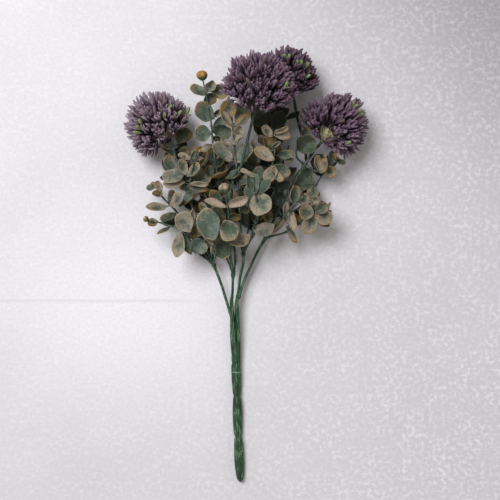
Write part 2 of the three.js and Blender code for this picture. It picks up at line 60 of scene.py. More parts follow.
# ------------------------------------------------------------------ sizes shared with the solids
JOINT_GAP = 0.3
CORD_RADIUS = 3
CORD_OFFSET = 0.85  # of each cord from the bound stem's axis
HALF_TWIST = 35
CROSSING_Y = -108
STRAND_LENGTH = 6
STRAND_START = 20
STALK_RADIUS = 1.15
STALK_END = 6
FORK_RADIUS = 2
SOCKET_RADIUS = 1.15
SOCKET_ROOM = 2.6
SPRIG_RADIUS = 0.85
BUD_ON = 0.6  # how far a bud's middle lies past its stem's end, of its radius
ROOT_OUT = 0.15
LEAF_WIDTH = 0.9
TOP_PAIR = 0.96
LOW_OPEN = 80
HIGH_OPEN = 52
OPEN_SPREAD = 10
TURN_SPREAD = 14
LENGTH_SPREAD = 0.09
WIDTH_SPREAD = 0.07
LEAST_FACE = 0.35
FACE_RANGE = 1.3
UPRIGHT = 0.25  # a stem nearer to upright than this has no side that faces the sky
LEAF_ROOM = 1
DISC_PLACE = 0.53  # of a leaf's length
DISC_DROP = 0.9
DISC_RIM = 0.8
DISC_HALF = 0.6
NEAR_LEVEL = 0.35
LEVEL_LEAN = 0.4
TABLE_TO_LEAF = 1.5
TIPS_TO_LEAF = 1.2
CORE_TO_LEAF = 3
TIPS_ROUND = 12
HEAD_CORE = 0.42
NECK_LENGTH = 4
TABLE_ROOM = 0.1

HEADS = {
    "left": {"centre": (-72, 118, 27), "crown": (-0.56, 0.8, 0.2), "radius": 28, "cover": 124},
    "right": {"centre": (73, 117, 27), "crown": (0.6, 0.77, 0.2), "radius": 28, "cover": 120},
    "front": {"centre": (10.5, 143.5, 68), "crown": (0.1, 0.82, 0.55), "radius": 30.5, "cover": 112},
    "rear": {"centre": (35, 158, 25), "crown": (-0.27, 0.95, 0.1), "radius": 25.5, "cover": 122},
}

BOUND_ROUTE = [(-4.2, -179.5, 4.1), (-6, -143, 4.1), (-7, -108, 4.6), (-8.1, -76, 6.4), (-8.3, -60, 8)]

STALKS = {
    "left": {
        "head": "left",
        "strand": (-2.7, 0.4),
        "route": [
            (-13, -37, 9.5), (-16, -27, 11), (-20, -14, 12.5), (-26.5, 3, 15), (-35, 23, 18),
            (-44, 52, 22), (-48, 65, 23), (-53, 79, 24), (-58, 93, 24),
        ],
    },
    "front": {
        "head": "front",
        "strand": (-0.6, 2),
        "route": [
            (-11, -25, 13.5), (-10.5, -18, 14.5), (-10, -5, 17.5), (-8, 8, 21), (-10, 25, 28),
            (-11, 52, 37), (-10, 71, 43), (-3, 84, 46), (2, 104, 48), (6, 119, 52),
        ],
    },
    "middle": {
        "strand": (0.6, 0),
        "route": [(-6, -22, 10), (-4, -7, 12.5), (-1.5, 4.5, 15), (-1.5, 13, 16)],
    },
    "right": {
        "head": "right",
        "strand": (2.5, 1.6),
        "route": [
            (-5, -24.5, 13.5), (-1.5, -12.5, 13.5), (3.5, -1, 14.5), (10.5, 14, 16), (17, 25, 18),
            (29, 51, 20), (40, 70, 22), (49, 85, 24), (58, 99, 25),
        ],
    },
    "rear": {
        "head": "rear",
        "strand": (1.2, -1.8),
        "route": [
            (-5.6, -25, 7), (-1.8, -13, 7.2), (3.9, 0, 7.5), (11, 15, 7.5), (20, 30, 8),
            (32, 44, 9), (46, 67, 11), (51, 88, 13), (48, 107, 15), (43, 126, 20),
        ],
    },
}

FORKS = {
    "left_low": ("left", 3),
    "left_high": ("left", 6),
    "front": ("front", 2),
    "middle": ("middle", 3),
    "right_low": ("right", 4),
    "right_high": ("right", 7),
    "rear": ("rear", 5),
}

SPRIG_KEYS = ("name", "fork", "route", "pairs", "low", "big", "small", "turn", "face", "bud")
SPRIGS = [
    dict(zip(SPRIG_KEYS, row))
    for row in [
        ("front_bud", "front", [(-12, 18, 42), (-13, 43, 57), (-16, 62, 67)], 4, 0.4, 16, 13, 60, 0.7, 3),
        ("front_right", "middle", [(6, 29, 38), (10, 49, 54), (6, 67, 61)], 4, 0.4, 17, 16, 70, 1.4, 0),
        ("front_left", "left_low", [(-24, 13, 35), (-26, 29, 49)], 3, 0.55, 18, 18, 80, 1.4, 0),
        (
            "crown_left", "front",
            [(-17, 30, 26), (-22, 71, 33), (-26, 100, 39), (-28, 122, 41), (-34, 152, 41)],
            8, 0.22, 18, 12, 50, 1, 4,
        ),
        (
            "crown_middle", "middle", [(-4, 40, 34), (-7, 80, 39), (-9, 104, 41), (-11, 124, 41)],
            6, 0.3, 17, 16, 45, 1, 0,
        ),
        (
            "crown_right", "middle", [(9, 36, 27), (16, 64, 36), (23, 89, 40), (26, 111, 38)],
            6, 0.28, 16, 11, 60, 1, 1.6,
        ),
        (
            "low_left", "left_low", [(-40, 14, 25), (-50, 30, 31), (-65, 36, 32), (-80, 40, 32)],
            5, 0.3, 18, 7, 75, 1, 2.4,
        ),
        (
            "mid_left", "left_low", [(-43, 23, 12), (-54, 43, 17), (-67, 57, 21), (-76, 69, 24)],
            5, 0.22, 15, 8, 30, 0.6, 1.8,
        ),
        (
            "high_left", "left_high", [(-45, 71, 36), (-42, 83, 42), (-37, 94, 46)],
            4, 0.3, 16, 10, 80, 1, 1.4,
        ),
        (
            "low_right", "right_low", [(34, 30, 21), (46, 38, 26), (58, 43, 28), (69, 46, 29)],
            5, 0.25, 15, 12, 40, 1, 1.6,
        ),
        (
            "mid_right", "right_low", [(26, 35, 34), (37, 49, 41), (48, 59, 42)],
            4, 0.35, 15, 12, 60, 0.8, 1.6,
        ),
        ("high_right", "right_high", [(42, 92, 34), (42, 107, 38)], 3, 0.35, 15, 12, 60, 0.9, 0),
        (
            "tip_right", "right_high", [(59, 80, 27), (68, 83, 28), (76, 90, 28)],
            4, 0.3, 14, 8, 45, 0.8, 1.2,
        ),
        (
            "neck_left", "left_high", [(-56, 74, 13), (-61, 89, 11), (-59, 101, 11)],
            4, 0.3, 15, 13, 50, 0.8, 0,
        ),
        ("back_right", "rear", [(46, 51, 16), (57, 66, 20), (65, 79, 15)], 4, 0.3, 16, 15, 50, 1, 0),
        ("depth_left", "front", [(-23, 27, 18), (-28, 58, 22), (-29, 88, 24)], 5, 0.22, 17, 15, 40, 1, 0),
        ("depth_right", "middle", [(14, 40, 17), (26, 70, 28), (31, 96, 26)], 4, 0.3, 17, 15, 60, 1, 0),
        (
            "shade_middle", "middle", [(4, 40, 9), (9, 74, 12), (17, 103, 12), (21, 127, 11)],
            6, 0.25, 18, 16, 70, 1, 0,
        ),
        ("back_left", "left_low", [(-29, 27, 8), (-40, 70, 9), (-42, 93, 9)], 4, 0.3, 17, 15, 60, 1, 0),
        ("back_middle", "middle", [(-9, 37, 12), (-15, 69, 12), (-22, 97, 10)], 4, 0.3, 17, 15, 80, 1, 0),
        ("under_right", "rear", [(26, 60, 6), (30, 83, 6), (37, 103, 6)], 4, 0.3, 16, 15, 50, 1, 0),
        ("collar_left", "left_low", [(-33, 8, 10), (-39, 13, 9)], 2, 0.5, 10, 10, 90, 0.8, 0),
    ]
]

# ------------------------------------------------------------------ what only the looks have
CAMERA = (4, 15, 900)

# A leaf's looks: from green to blue-green, how much ochre its rim has, how far the frost has turned it
# beige, and how much painted shade darkens it, as for a leaf deep in the spray.
TONES = {
    "dark": (0.1, 0.4, 0.0, 0.78),
    "dark_ochre": (0.2, 1.8, 0.1, 0.5),
    "olive": (0.0, 1.3, 0.15, 0.3),
    "brown": (0.1, 1.9, 0.45, 0.38),
    "mauve": (0.35, 1.0, 0.95, 0.08),
    "green": (0.25, 0.4, 0.1, 0.12),
    "deep": (0.2, 0.5, 0.05, 0.34),
    "teal": (0.95, 0.45, 0.15, 0.05),
    "grey": (0.7, 0.85, 0.35, 0.1),
    "sage": (1.0, 0.1, 0.6, 0.0),
    "frosted": (1.0, 0.2, 0.85, 0.0),
    "pale": (1.0, 0.1, 1.1, 0.0),
    "pink": (0.6, 0.25, 1.25, 0.0),
    "beige": (0.5, 0.6, 0.95, 0.0),
    "green_beige": (0.1, 0.7, 0.6, 0.0),
    "grey_beige": (0.6, 0.35, 0.75, 0.0),
    "grey_ochre": (0.5, 1.3, 0.5, 0.12),
    "beige_ochre": (0.4, 1.2, 0.9, 0.0),
    "ochre": (0.2, 2.0, 0.9, 0.1),
}
# Leaves low in the spray draw the tones with the most painted shade.
LOW_TONES = ("dark", "dark", "dark_ochre", "dark", "brown")
MIDDLE_TONES = ("olive", "dark", "dark_ochre", "brown", "green", "dark", "grey_ochre")
HIGH_TONES = ("grey", "sage", "grey_beige", "brown", "grey_ochre", "beige_ochre", "olive", "green")
LOW_UNDER = 17  # mm above the table
HIGH_OVER = 31

# The leaves that face the camera: where the foot and the tip are seen (x, y, x, y at table height), the
# width that is seen, the foot's height, the tip's rise over it, the roll about the leaf's length in
# degrees, and the tone.
FACING_LEAVES = [
    (-33, 148, -46, 154, 9, 41, 2, 20, "grey"),
    (-33, 149, -27, 158, 8, 42, 4, 30, "pale"),
    (-28, 148, -15, 151, 13, 40, 2, 10, "ochre"),
    (-35, 141, -25, 146, 10, 37, 1, 15, "dark_ochre"),
    (-27, 127, -42, 137, 16, 42, 2, 8, "grey"),
    (-27, 128, -21, 133, 4, 39, 2, 50, "ochre"),
    (-12, 128, -16, 142, 15, 46, 3, 12, "ochre"),
    (-10, 120, -22, 132, 7, 45, 6, 45, "beige"),
    (-10, 120, 4, 132, 7, 45, 7, -45, "ochre"),
    (-7, 122, 2, 139, 14, 40, 3, -20, "sage"),
    (-27, 119, -16, 127, 9, 36, 0, 10, "teal"),
    (-29, 114, -43, 114, 14, 42, 2, 10, "grey"),
    (-28, 116, -12, 117, 11, 40, 1, 30, "deep"),
    (-27, 111, -16, 104, 7, 34, -2, 35, "brown"),
    (-10, 106, -4, 120, 9, 40, 4, 10, "pale"),
    (-11, 105, -21, 108, 5, 44, 4, 55, "pale"),
    (-11, 105, -4, 112, 4, 44, 4, -55, "pale"),
    (-11, 92, -27, 104, 12, 40, 2, 28, "sage"),
    (-28, 105, -38, 100, 5, 38, 2, 50, "sage"),
    (-27, 92, -23, 100, 8, 36, 3, 20, "brown"),
    (22, 127, 5, 129, 17, 20, 1, 5, "dark"),
    (23, 119, 33, 131, 13, 22, 1, 10, "dark"),
    (35, 126, 46, 132, 4, 20, 1, 45, "dark"),
    (23, 112, 15, 120, 8, 46, 3, 15, "pink"),
    (25, 114, 36, 119, 4, 47, 4, 50, "pink"),
    (25, 113, 38, 112, 7, 45, 1, 20, "beige_ochre"),
    (24, 92, 9, 101, 11, 44, 2, 20, "beige_ochre"),
    (23, 102, 30, 106, 3, 46, 3, 50, "sage"),
    (28, 95, 40, 97, 8, 32, 1, 15, "grey"),
    (33, 93, 41, 92, 4, 30, 1, 30, "brown"),
    (43, 102, 60, 107, 16, 33, 0, 8, "deep"),
    (48, 111, 54, 119, 6, 27, 0, 20, "brown"),
    (66, 81, 59, 94, 8, 34, 4, 35, "beige_ochre"),
    (66, 81, 68, 93, 5, 34, 4, -40, "ochre"),
    (68, 83, 77, 80, 10, 30, 0, 12, "ochre"),
    (25, 86, 18, 74, 11, 45, -2, 15, "beige"),
    (23, 85, 30, 73, 7, 46, -2, -40, "beige_ochre"),
    (25, 87, 37, 78, 10, 36, -2, 20, "grey"),
    (-52, 81, -70, 76, 12, 37, 1, 10, "sage"),
    (-52, 73, -69, 71, 8, 33, 0, 25, "beige"),
    (-71, 65, -76, 73, 7, 26, 3, 20, "beige"),
    (-70, 63, -79, 62, 5, 25, 1, 40, "brown"),
    (-66, 52, -84, 52, 7, 28, 2, 30, "beige_ochre"),
    (-64, 52, -56, 64, 7, 29, 4, -40, "beige_ochre"),
    (-60, 46, -72, 41, 7, 28, 0, 30, "brown"),
    (-74, 39, -83, 38, 7, 31, 0, 20, "ochre"),
    (-63, 35, -75, 29, 3, 30, -2, 50, "brown"),
    (-47, 31, -56, 46, 16, 42, 3, 6, "frosted"),
    (-55, 29, -58, 10, 11, 40, -1, 12, "frosted"),
    (-53, 29, -48, 12, 7, 38, -3, -50, "green"),
    (-27, 24, -35, 49, 20, 53, 1, 6, "teal"),
    (-18, 40, -10, 24, 16, 57, -1, 8, "green_beige"),
    (-16, 26, -22, 9, 18, 33, -3, 8, "green"),
    (-45, 14, -35, 22, 15, 33, -1, 12, "teal"),
    (-46, 27, -38, 31, 8, 34, 1, 20, "brown"),
    (-44, 36, -45, 50, 4, 38, 4, 50, "pale"),
    (-39, 64, -55, 52, 4, 38, -1, 50, "brown"),
    (-47, 65, -50, 57, 8, 33, 1, 15, "teal"),
    (-47, 71, -32, 70, 4, 46, 4, 45, "pale"),
    (-49, 69, -33, 66, 6, 42, 2, 30, "brown"),
    (-16, 52, -33, 58, 6, 60, 5, 50, "pink"),
    (-15, 52, 1, 58, 8, 60, 6, 30, "pink"),
    (9, 63, 4, 80, 12, 59, 2, 20, "teal"),
    (10, 63, 21, 74, 8, 58, 1, -30, "green"),
    (9, 63, 17, 46, 20, 58, 2, 8, "frosted"),
    (9, 78, -3, 84, 4, 56, 4, 50, "pink"),
    (-4, 84, -15, 75, 6, 46, -1, 50, "green"),
    (-4, 52, 4, 48, 6, 50, -2, 30, "olive"),
    (-17, 41, -29, 50, 10, 46, 2, 20, "brown"),
    (-15, 43, -4, 43, 6, 42, 1, 30, "brown"),
    (-20, 57, -30, 64, 9, 42, 1, 15, "olive"),
    (57, 71, 43, 79, 22, 20, 1, 6, "deep"),
    (57, 69, 57, 59, 10, 23, 2, 15, "grey_ochre"),
    (56, 57, 44, 59, 9, 28, 2, 12, "frosted"),
    (55, 60, 63, 56, 7, 26, 2, 15, "pale"),
    (58, 46, 46, 49, 14, 39, 1, 8, "mauve"),
    (58, 45, 52, 29, 13, 36, -2, 8, "mauve"),
    (60, 47, 69, 54, 10, 38, 2, 15, "grey_ochre"),
    (60, 47, 73, 40, 13, 37, 0, 12, "mauve"),
    (35, 35, 44, 22, 5, 30, -2, 45, "grey_ochre"),
    (40, 46, 41, 32, 5, 36, -1, 45, "pink"),
    (36, 37, 34, 55, 6, 34, 2, 40, "pale"),
    (22, 29, 31, 41, 7, 26, 2, 30, "pale"),
    (21, 58, 34, 60, 13, 19, 0, 12, "dark"),
    (21, 69, 38, 72, 8, 26, 0, 25, "dark"),
    (-57, 106, -49, 119, 13, 46, 5, 25, "dark_ochre"),
    (-63, 105, -71, 111, 9, 30, 0, 15, "olive"),
    (-57, 103, -69, 103, 5, 36, 1, 30, "teal"),
    (-60, 97, -71, 102, 5, 30, 1, 40, "olive"),
    (-56, 100, -48, 98, 8, 36, 2, 20, "brown"),
    (-59, 82, -66, 95, 12, 27, 1, 15, "grey_ochre"),
    (-46, 93, -57, 96, 5, 38, 1, 30, "beige"),
    (-44, 92, -36, 93, 3, 40, 2, 30, "beige"),
    (-46, 91, -42, 100, 4, 42, 4, 40, "sage"),
    (-38, 86, -32, 98, 5, 36, 3, 40, "brown"),
    (-50, 79, -55, 92, 8, 40, 4, 20, "beige_ochre"),
    (-49, 78, -39, 88, 8, 40, 3, -15, "beige_ochre"),
    (-28, 76, -31, 87, 7, 30, 2, 30, "olive"),
    (-5, 73, -16, 76, 8, 36, 2, 25, "dark"),
    (1, 35, -2, 47, 8, 26, 2, 15, "dark"),
    (7, 39, 14, 47, 8, 24, 1, 20, "olive"),
    (18, 39, 21, 48, 8, 24, 1, 15, "brown"),
    (-33, 47, -38, 55, 6, 30, 1, 30, "ochre"),
]

# Where the table is seen between the leaves: the place at table height, its radius, and the height that
# leaves may have there.
WINDOWS = [
    (-6, 116, 5, 0), (-10, 89, 3, 0), (38, 106, 6, 0), (39, 93, 5, 0), (34, 71, 5, 0), (30, 27, 7, 0),
    (-52, 73, 4, 20), (-25, 138, 3, 0), (-67, 67, 4, 0), (-73, 61, 4, 0), (-57, 50, 3, 0), (-52, 39, 4, 0),
    (-69, 34, 4, 0), (-57, 5, 7, 0), (-34, 8, 6, 15), (-80, 60, 4, 0), (-79, 47, 4, 0), (45, 22, 5, 0),
    (68, 68, 5, 0), (74, 60, 6, 0), (-64, 20, 6, 0), (-71, 49, 4, 0), (-60, 27, 4, 0), (-46, 7, 6, 0),
    (75, 77, 5, 0), (79, 43, 5, 0), (-80, 75, 4, 0), (-84, 72, 3, 0), (66, 60, 4, 0), (46, 33, 3, 0),
    (49, 90, 4, 0), (72, 34, 4, 0), (63, 75, 4, 0), (-74, 93, 4, 0), (-76, 77, 3, 0),
]

# How pale and powdery a head's florets are: their own powder, and on the left head also painted light.
HEAD_FROST_AND_LIGHT = {"left": 1.35, "right": 0.5, "front": 0.4, "rear": 0.2}

# How much painted light a head's florets get, where 1 is full and less lets the painted shade deep in the
# head reach further out along them.
HEAD_LIGHT = {"left": 1, "right": 0.97, "front": 1, "rear": 0.68}

# Odd florets, by how far their tips lie from the head's middle as seen from above (mm).
PLAIN, GREEN, TAUPE, WHITISH = range(4)
ODD_FLORETS = {
    "left": {
        GREEN: [(13, 13.4), (20, 9.7), (7.6, 6.8), (-12.7, 2), (-15.2, -3), (-18, -7.3), (25, 14.7)],
        TAUPE: [(23.6, 5.3), (-7.7, 9.7), (-16.2, 6.5), (5.8, 0.3), (14.5, 3.4), (8.3, 17.8), (20.8, 16.6)],
    },
    "right": {GREEN: [(15, 18.5), (21.5, 12), (12, -14), (18.5, 15.5), (23, 9)], TAUPE: [(6, 2)]},
    "front": {
        GREEN: [(21.5, 0.5)],
        TAUPE: [(26, -1.5), (-9, 1.6), (5.7, 19.6)],
        WHITISH: [(-20, -11), (-17, -14)],
    },
    "rear": {GREEN: [(-4.7, 14.7), (0.9, 15), (6.6, 9.7), (10.5, 10.2), (15.9, 8.8), (17.3, -1.1)]},
}

# Long florets that droop past a head's lower edge, by how far their tips lie from its middle (mm).
HANGING = {
    "left": [
        (-13.5, -26), (-10.8, -26.6), (-8, -25), (-5.6, -26.4), (-2.4, -25.6), (-17.5, -22.5), (-4, -21),
    ],
    "right": [(8.8, -28.4), (7, -24), (11.5, -26), (15.2, -24.5), (20.8, -19.5), (4, -20), (12, -21.5)],
}

SKY = np.array([0.0, 0.0, 1.0])

# The first seed of each kind of draw; each sprig, head and cord has its own from there.
LEAF_SEED = 1
MORE_LEAVES_SEED = 301
LEAF_SHAPE_SEED = 501
HEAD_SEED = 71
CORD_SEED = 900


def vec(point):
    return np.array(point, float)


def unit(v):
    return v / np.linalg.norm(v)


def angle_between(a, b):
    cosine = np.dot(a, b) / (np.linalg.norm(a) * np.linalg.norm(b))
    return math.acos(min(1.0, max(-1.0, cosine)))


class Draw:
    """Draws that come out alike each time."""

    FACTOR = 16807
    RANGE = 2147483647
    SEED_STEP = 7919
    FIRST = 104729

    def __init__(self, seed):
        self.state = seed * self.SEED_STEP + self.FIRST

    def next(self):
        self.state = (self.state * self.FACTOR) % self.RANGE
        return self.state / self.RANGE

    def spread(self, size):
        return (self.next() * 2 - 1) * size


class Route:
    """A smooth curve through points, where t runs from 0 to 1."""

    STEP = 0.0001
    PARTS = 200

    def __init__(self, points):
        self.points = np.array(points, float)

    def at(self, t):
        points = self.points
        last = len(points) - 1
        place = last * t
        low = min(int(math.floor(place)), last - 1)
        w = place - low
        p1, p2 = points[low], points[low + 1]
        p0 = points[low - 1] if low > 0 else 2 * p1 - p2
        p3 = points[low + 2] if low + 2 <= last else 2 * p2 - p1
        t0, t1 = (p2 - p0) * 0.5, (p3 - p1) * 0.5
        return p1 + t0 * w + (-3 * p1 + 3 * p2 - 2 * t0 - t1) * w**2 + (2 * p1 - 2 * p2 + t0 + t1) * w**3

    def way(self, t):
        return unit(self.at(min(1.0, t + self.STEP)) - self.at(max(0.0, t - self.STEP)))

    def length(self):
        places = self.samples(self.PARTS + 1)
        return np.linalg.norm(np.diff(places, axis=0), axis=1).sum()

    def samples(self, count):
        return np.array([self.at(i / (count - 1)) for i in range(count)])

    def samples_every(self, step, least):
        return self.samples(max(least, int(self.length() / step)))


# ------------------------------------------------------------------ where the pieces go
def head_seat(head):
    back = head["radius"] * HEAD_CORE + NECK_LENGTH
    return vec(head["centre"]) - unit(vec(head["crown"])) * back


def stalk_route(stalk):
    points = [vec(p) for p in stalk["route"]]
    if "head" in stalk:
        head = HEADS[stalk["head"]]
        crown = unit(vec(head["crown"]))
        points += [head_seat(head) - crown * STALK_END, head_seat(head) - crown * JOINT_GAP]
    return Route(points)


def fork_place(fork):
    of, at = FORKS[fork]
    return vec(STALKS[of]["route"][at])


def sprig_way(sprig):
    return unit(vec(sprig["route"][0]) - fork_place(sprig["fork"]))


def socket_reach(fork):
    """How far a fork's sockets reach for the rods that part there to be clear of each other."""
    of, at = FORKS[fork]
    route = STALKS[of]["route"]
    ways = [sprig_way(sprig) for sprig in SPRIGS if sprig["fork"] == fork]
    ways += [unit(vec(route[i]) - fork_place(fork)) for i in (at - 1, at + 1) if i < len(route)]
    angles = [angle_between(a, b) for i, a in enumerate(ways) for b in ways[i + 1:]]
    return max(FORK_RADIUS + 1, SOCKET_ROOM / math.sin(min([math.pi / 2, *angles])))


def sprig_route(sprig):
    start = fork_place(sprig["fork"]) + sprig_way(sprig) * (socket_reach(sprig["fork"]) + JOINT_GAP)
    return Route([start, *sprig["route"]])


def bud_place(sprig, route):
    return route.at(1) + route.way(1) * (sprig["bud"] * BUD_ON)


class Leaf:
    """A leaf's root, the ways that it runs and faces, its size, and the flat disc it is tested as."""

    RIM_POINTS = 8

    def __init__(self, root, along, up, length, width, tone=None):
        self.root, self.along, self.up = root, along, up
        self.length, self.width = length, width
        self.tone = tone
        self.centre = root + along * (length * DISC_PLACE) - up * DISC_DROP
        self.radius = length / 2 + DISC_RIM
        across = np.cross(up, along)
        angles = np.arange(self.RIM_POINTS) / self.RIM_POINTS * 2 * math.pi
        self.rim = (
            self.centre
            + np.outer(np.cos(angles) * length / 2, along)
            + np.outer(np.sin(angles) * width / 2, across)
        )


def leaf_on_stem(foot, tangent, about, opening, face, length, width):
    """A leaf on a stem, by its angle about it, how far it opens and how much it turns its face up."""
    to_sky = SKY - tangent * tangent[2]
    if np.linalg.norm(to_sky) < UPRIGHT:
        to_sky = np.array([0.0, -1.0, 0.0]) + tangent * tangent[1]
    to_sky = unit(to_sky)
    out = to_sky * math.cos(about) + np.cross(tangent, to_sky) * math.sin(about)
    along = tangent * math.cos(opening) + out * math.sin(opening)
    up = tangent * math.sin(opening) - out * math.cos(opening)
    return Leaf(foot + out * ROOT_OUT, along, unit(up + (SKY - along * along[2]) * face), length, width)


def seen(x, y, z):
    """The point at height z that the camera sees in front of x, y on the table."""
    return vec(CAMERA) + (vec((x, y, 0)) - vec(CAMERA)) * (1 - z / CAMERA[2])


def as_seen(point):
    """Where on the table the camera sees a point."""
    return vec(CAMERA[:2]) + (point[:2] - vec(CAMERA[:2])) / (1 - point[2] / CAMERA[2])


STEM_PLACES = 60  # tried along each stem for a leaf's foot
ABOVE_COUNTS = 0.9  # how much of a height over or under the leaf's foot counts
BELOW_COUNTS = 0.3
FOOT_BELOW = 2  # how far a foot may lie under and over its place on the stem
FOOT_OVER = 12


def nearest_stem(point):
    """The sprig whose stem passes nearest to a point, and better below it than above, with the place."""
    best = None
    for index, sprig in enumerate(SPRIGS):
        for place in sprig_route(sprig).samples(STEM_PLACES):
            away = place - point
            away[2] *= ABOVE_COUNTS if away[2] > 0 else BELOW_COUNTS
            far = float(away @ away)
            if best is None or far < best[0]:
                best = (far, index, place)
    return best[1:]


def facing_leaves():
    """The leaves that face the camera, by sprig, each with the point of the stem that it grows from."""
    found = [[] for _ in SPRIGS]
    for foot_x, foot_y, tip_x, tip_y, width, height, rise, roll, tone in FACING_LEAVES:
        index, stem = nearest_stem(seen(foot_x, foot_y, height))
        height = min(max(height, stem[2] - FOOT_BELOW), stem[2] + FOOT_OVER)
        root, tip = seen(foot_x, foot_y, height), seen(tip_x, tip_y, height + rise)
        along = unit(tip - root)
        level = unit(SKY - along * along[2])
        angle = math.radians(roll)
        up = level * math.cos(angle) + np.cross(along, level) * math.sin(angle)
        width *= (1 - height / CAMERA[2]) / math.cos(angle)
        leaf = Leaf(root, along, up, np.linalg.norm(tip - root), width, tone)
        found[index].append((leaf, stem))
    return found


# How much of a leaf's radius counts where it lies over a window, a bud or a facing leaf, and of the facing
# leaf's own; how far under a facing leaf others may come; and how many sprigs, from the first, have any bud
# kept in sight.
WINDOW_SHARE = 0.7
BUD_SHARE = 0.75
OVER_SHARE = 0.5
FACING_SHARE = 0.8
FACING_ROOM = 2
HIGH_SPRIGS = 4


class Room:
    """What is in place already, and whether a leaf is clear of it."""

    STEP = 2  # between the points that stand for a rod
    LEVEL_ROOM = 1  # more between leaves that lie nearly level with each other
    FAR_ROOM = 1  # past which leaves can't meet, on top of their radii

    def __init__(self, facing):
        self.facing = facing
        self.leaves = list(facing)
        self.rods = []
        for name, stalk in STALKS.items():
            self.note_rod(f"stalk_{name}", stalk_route(stalk), STALK_RADIUS)
        for sprig in SPRIGS:
            route = sprig_route(sprig)
            self.note_rod(sprig["name"], route, SPRIG_RADIUS)
            if sprig["bud"]:
                self.rods.append((sprig["name"], bud_place(sprig, route), sprig["bud"]))
            fork = fork_place(sprig["fork"])
            self.rods.append(("fork", fork, FORK_RADIUS))
            steps = math.ceil(np.linalg.norm(route.at(0) - fork) / self.STEP)
            for i in range(steps + 1):
                self.rods.append(("socket", fork + (route.at(0) - fork) * (i / steps), SOCKET_RADIUS))
        self.rod_names = np.array([name for name, _, _ in self.rods])
        self.rod_points = np.array([point for _, point, _ in self.rods])
        self.rod_radii = np.array([radius for _, _, radius in self.rods], float)

    def note_rod(self, name, route, radius):
        steps = math.ceil(route.length() / self.STEP)
        self.rods += [(name, route.at(i / steps), radius) for i in range(steps + 1)]

    @staticmethod
    def disc_meets(leaf, points, radii, room):
        away = points - leaf.centre
        height = away @ leaf.up
        aside = np.linalg.norm(away - np.outer(height, leaf.up), axis=1)
        return bool(np.any((np.abs(height) < radii + room + DISC_HALF) & (aside < leaf.radius + radii)))

    @staticmethod
    def discs_cross(a, b, room):
        between = b.centre - a.centre
        line = np.cross(a.up, b.up)
        slope = np.linalg.norm(line)
        if slope < NEAR_LEVEL:
            apart = min(abs(between @ a.up), abs(between @ b.up))
            return apart < room + Room.LEVEL_ROOM + slope * (a.radius + b.radius) * LEVEL_LEAN
        from_a = abs(between @ b.up) / slope
        from_b = abs(between @ a.up) / slope
        if from_a > a.radius or from_b > b.radius:
            return False
        chords = math.sqrt(a.radius**2 - from_a**2) + math.sqrt(b.radius**2 - from_b**2)
        return abs(between @ line) / slope < chords + room / 2

    def leaves_cross(self, a, b, room):
        if np.linalg.norm(a.centre - b.centre) > a.radius + b.radius + self.FAR_ROOM:
            return False
        if self.discs_cross(a, b, room):
            return True
        return self.disc_meets(b, a.rim, 0, room) or self.disc_meets(a, b.rim, 0, room)

    @staticmethod
    def meets_head(points):
        for head in HEADS.values():
            crown = unit(vec(head["crown"]))
            away = points - vec(head["centre"])
            far = np.linalg.norm(away, axis=1)
            by_florets = away @ crown > far * math.cos(math.radians(head["cover"] + TIPS_ROUND))
            to_florets = head["radius"] + TIPS_TO_LEAF
            to_core = head["radius"] * HEAD_CORE + CORE_TO_LEAF
            if np.any(far < np.where(by_florets, to_florets, to_core)):
                return True
        return False

    def hides_facing(self, leaf):
        """Whether a leaf would come between the camera and a facing leaf, a high bud or a window's table."""
        there = as_seen(leaf.centre)
        for x, y, radius, height in WINDOWS:
            apart = math.hypot(there[0] - x, there[1] - y)
            if leaf.centre[2] > height and apart < radius + leaf.radius * WINDOW_SHARE:
                return True
        for sprig in SPRIGS[:HIGH_SPRIGS]:
            if sprig["bud"]:
                bud = as_seen(vec(sprig["route"][-1]))
                if math.hypot(*(there - bud)) < sprig["bud"] + leaf.radius * BUD_SHARE:
                    return True
        for other in self.facing:
            apart = np.linalg.norm((leaf.centre - other.centre)[:2])
            over = leaf.centre[2] > other.centre[2] - FACING_ROOM
            if over and apart < other.radius * FACING_SHARE + leaf.radius * OVER_SHARE:
                return True
        return False

    def is_clear(self, leaf, own, room=LEAF_ROOM):
        if self.hides_facing(leaf):
            return False
        if np.any(leaf.rim[:, 2] < TABLE_TO_LEAF) or self.meets_head(leaf.rim):
            return False
        if any(self.leaves_cross(leaf, other, room) for other in self.leaves):
            return False
        others = self.rod_names != own
        return not self.disc_meets(leaf, self.rod_points[others], self.rod_radii[others], room)


# How a leaf is tried until it is clear: its turn about the stem and how much further it opens (degrees), how
# much more it turns its face up, and its size.
WIDER_TRIES = [(14, 0), (28, 0), (14, 12), (28, 12), (42, 0), (42, -14), (60, 8), (75, 0)]
TRIES = [(0, 0, 0, 1)] + [
    (side * about, opening, roll, size)
    for size in (1, 0.8)
    for about, opening in WIDER_TRIES
    for side in (1, -1)
    for roll in (0, 0.5)
]

# The leaves that are added between the solids' pairs: their tries, the room that is kept round them, and how
# they are drawn.
MORE_TRIES = [
    (0, 0, 0, 1), (20, 0, 0, 1), (-20, 0, 0, 1), (0, 15, 0.4, 1), (0, -15, 0, 0.85), (0, 0, 0.6, 0.75),
]
MORE_ROOM = 0.1
MORE_FROM = 0.12  # of the stem's length
MORE_SIZE = 0.92
MORE_SIZE_SPREAD = 0.12
MORE_TURN_SPREAD = 30
HEIGHT_AT = 0.7  # where a stem's height is taken, of its length


def mean_length(sprig, share):
    return sprig["big"] + (sprig["small"] - sprig["big"]) * share * share


def mean_opening(share):
    return LOW_OPEN + (HIGH_OPEN - LOW_OPEN) * share


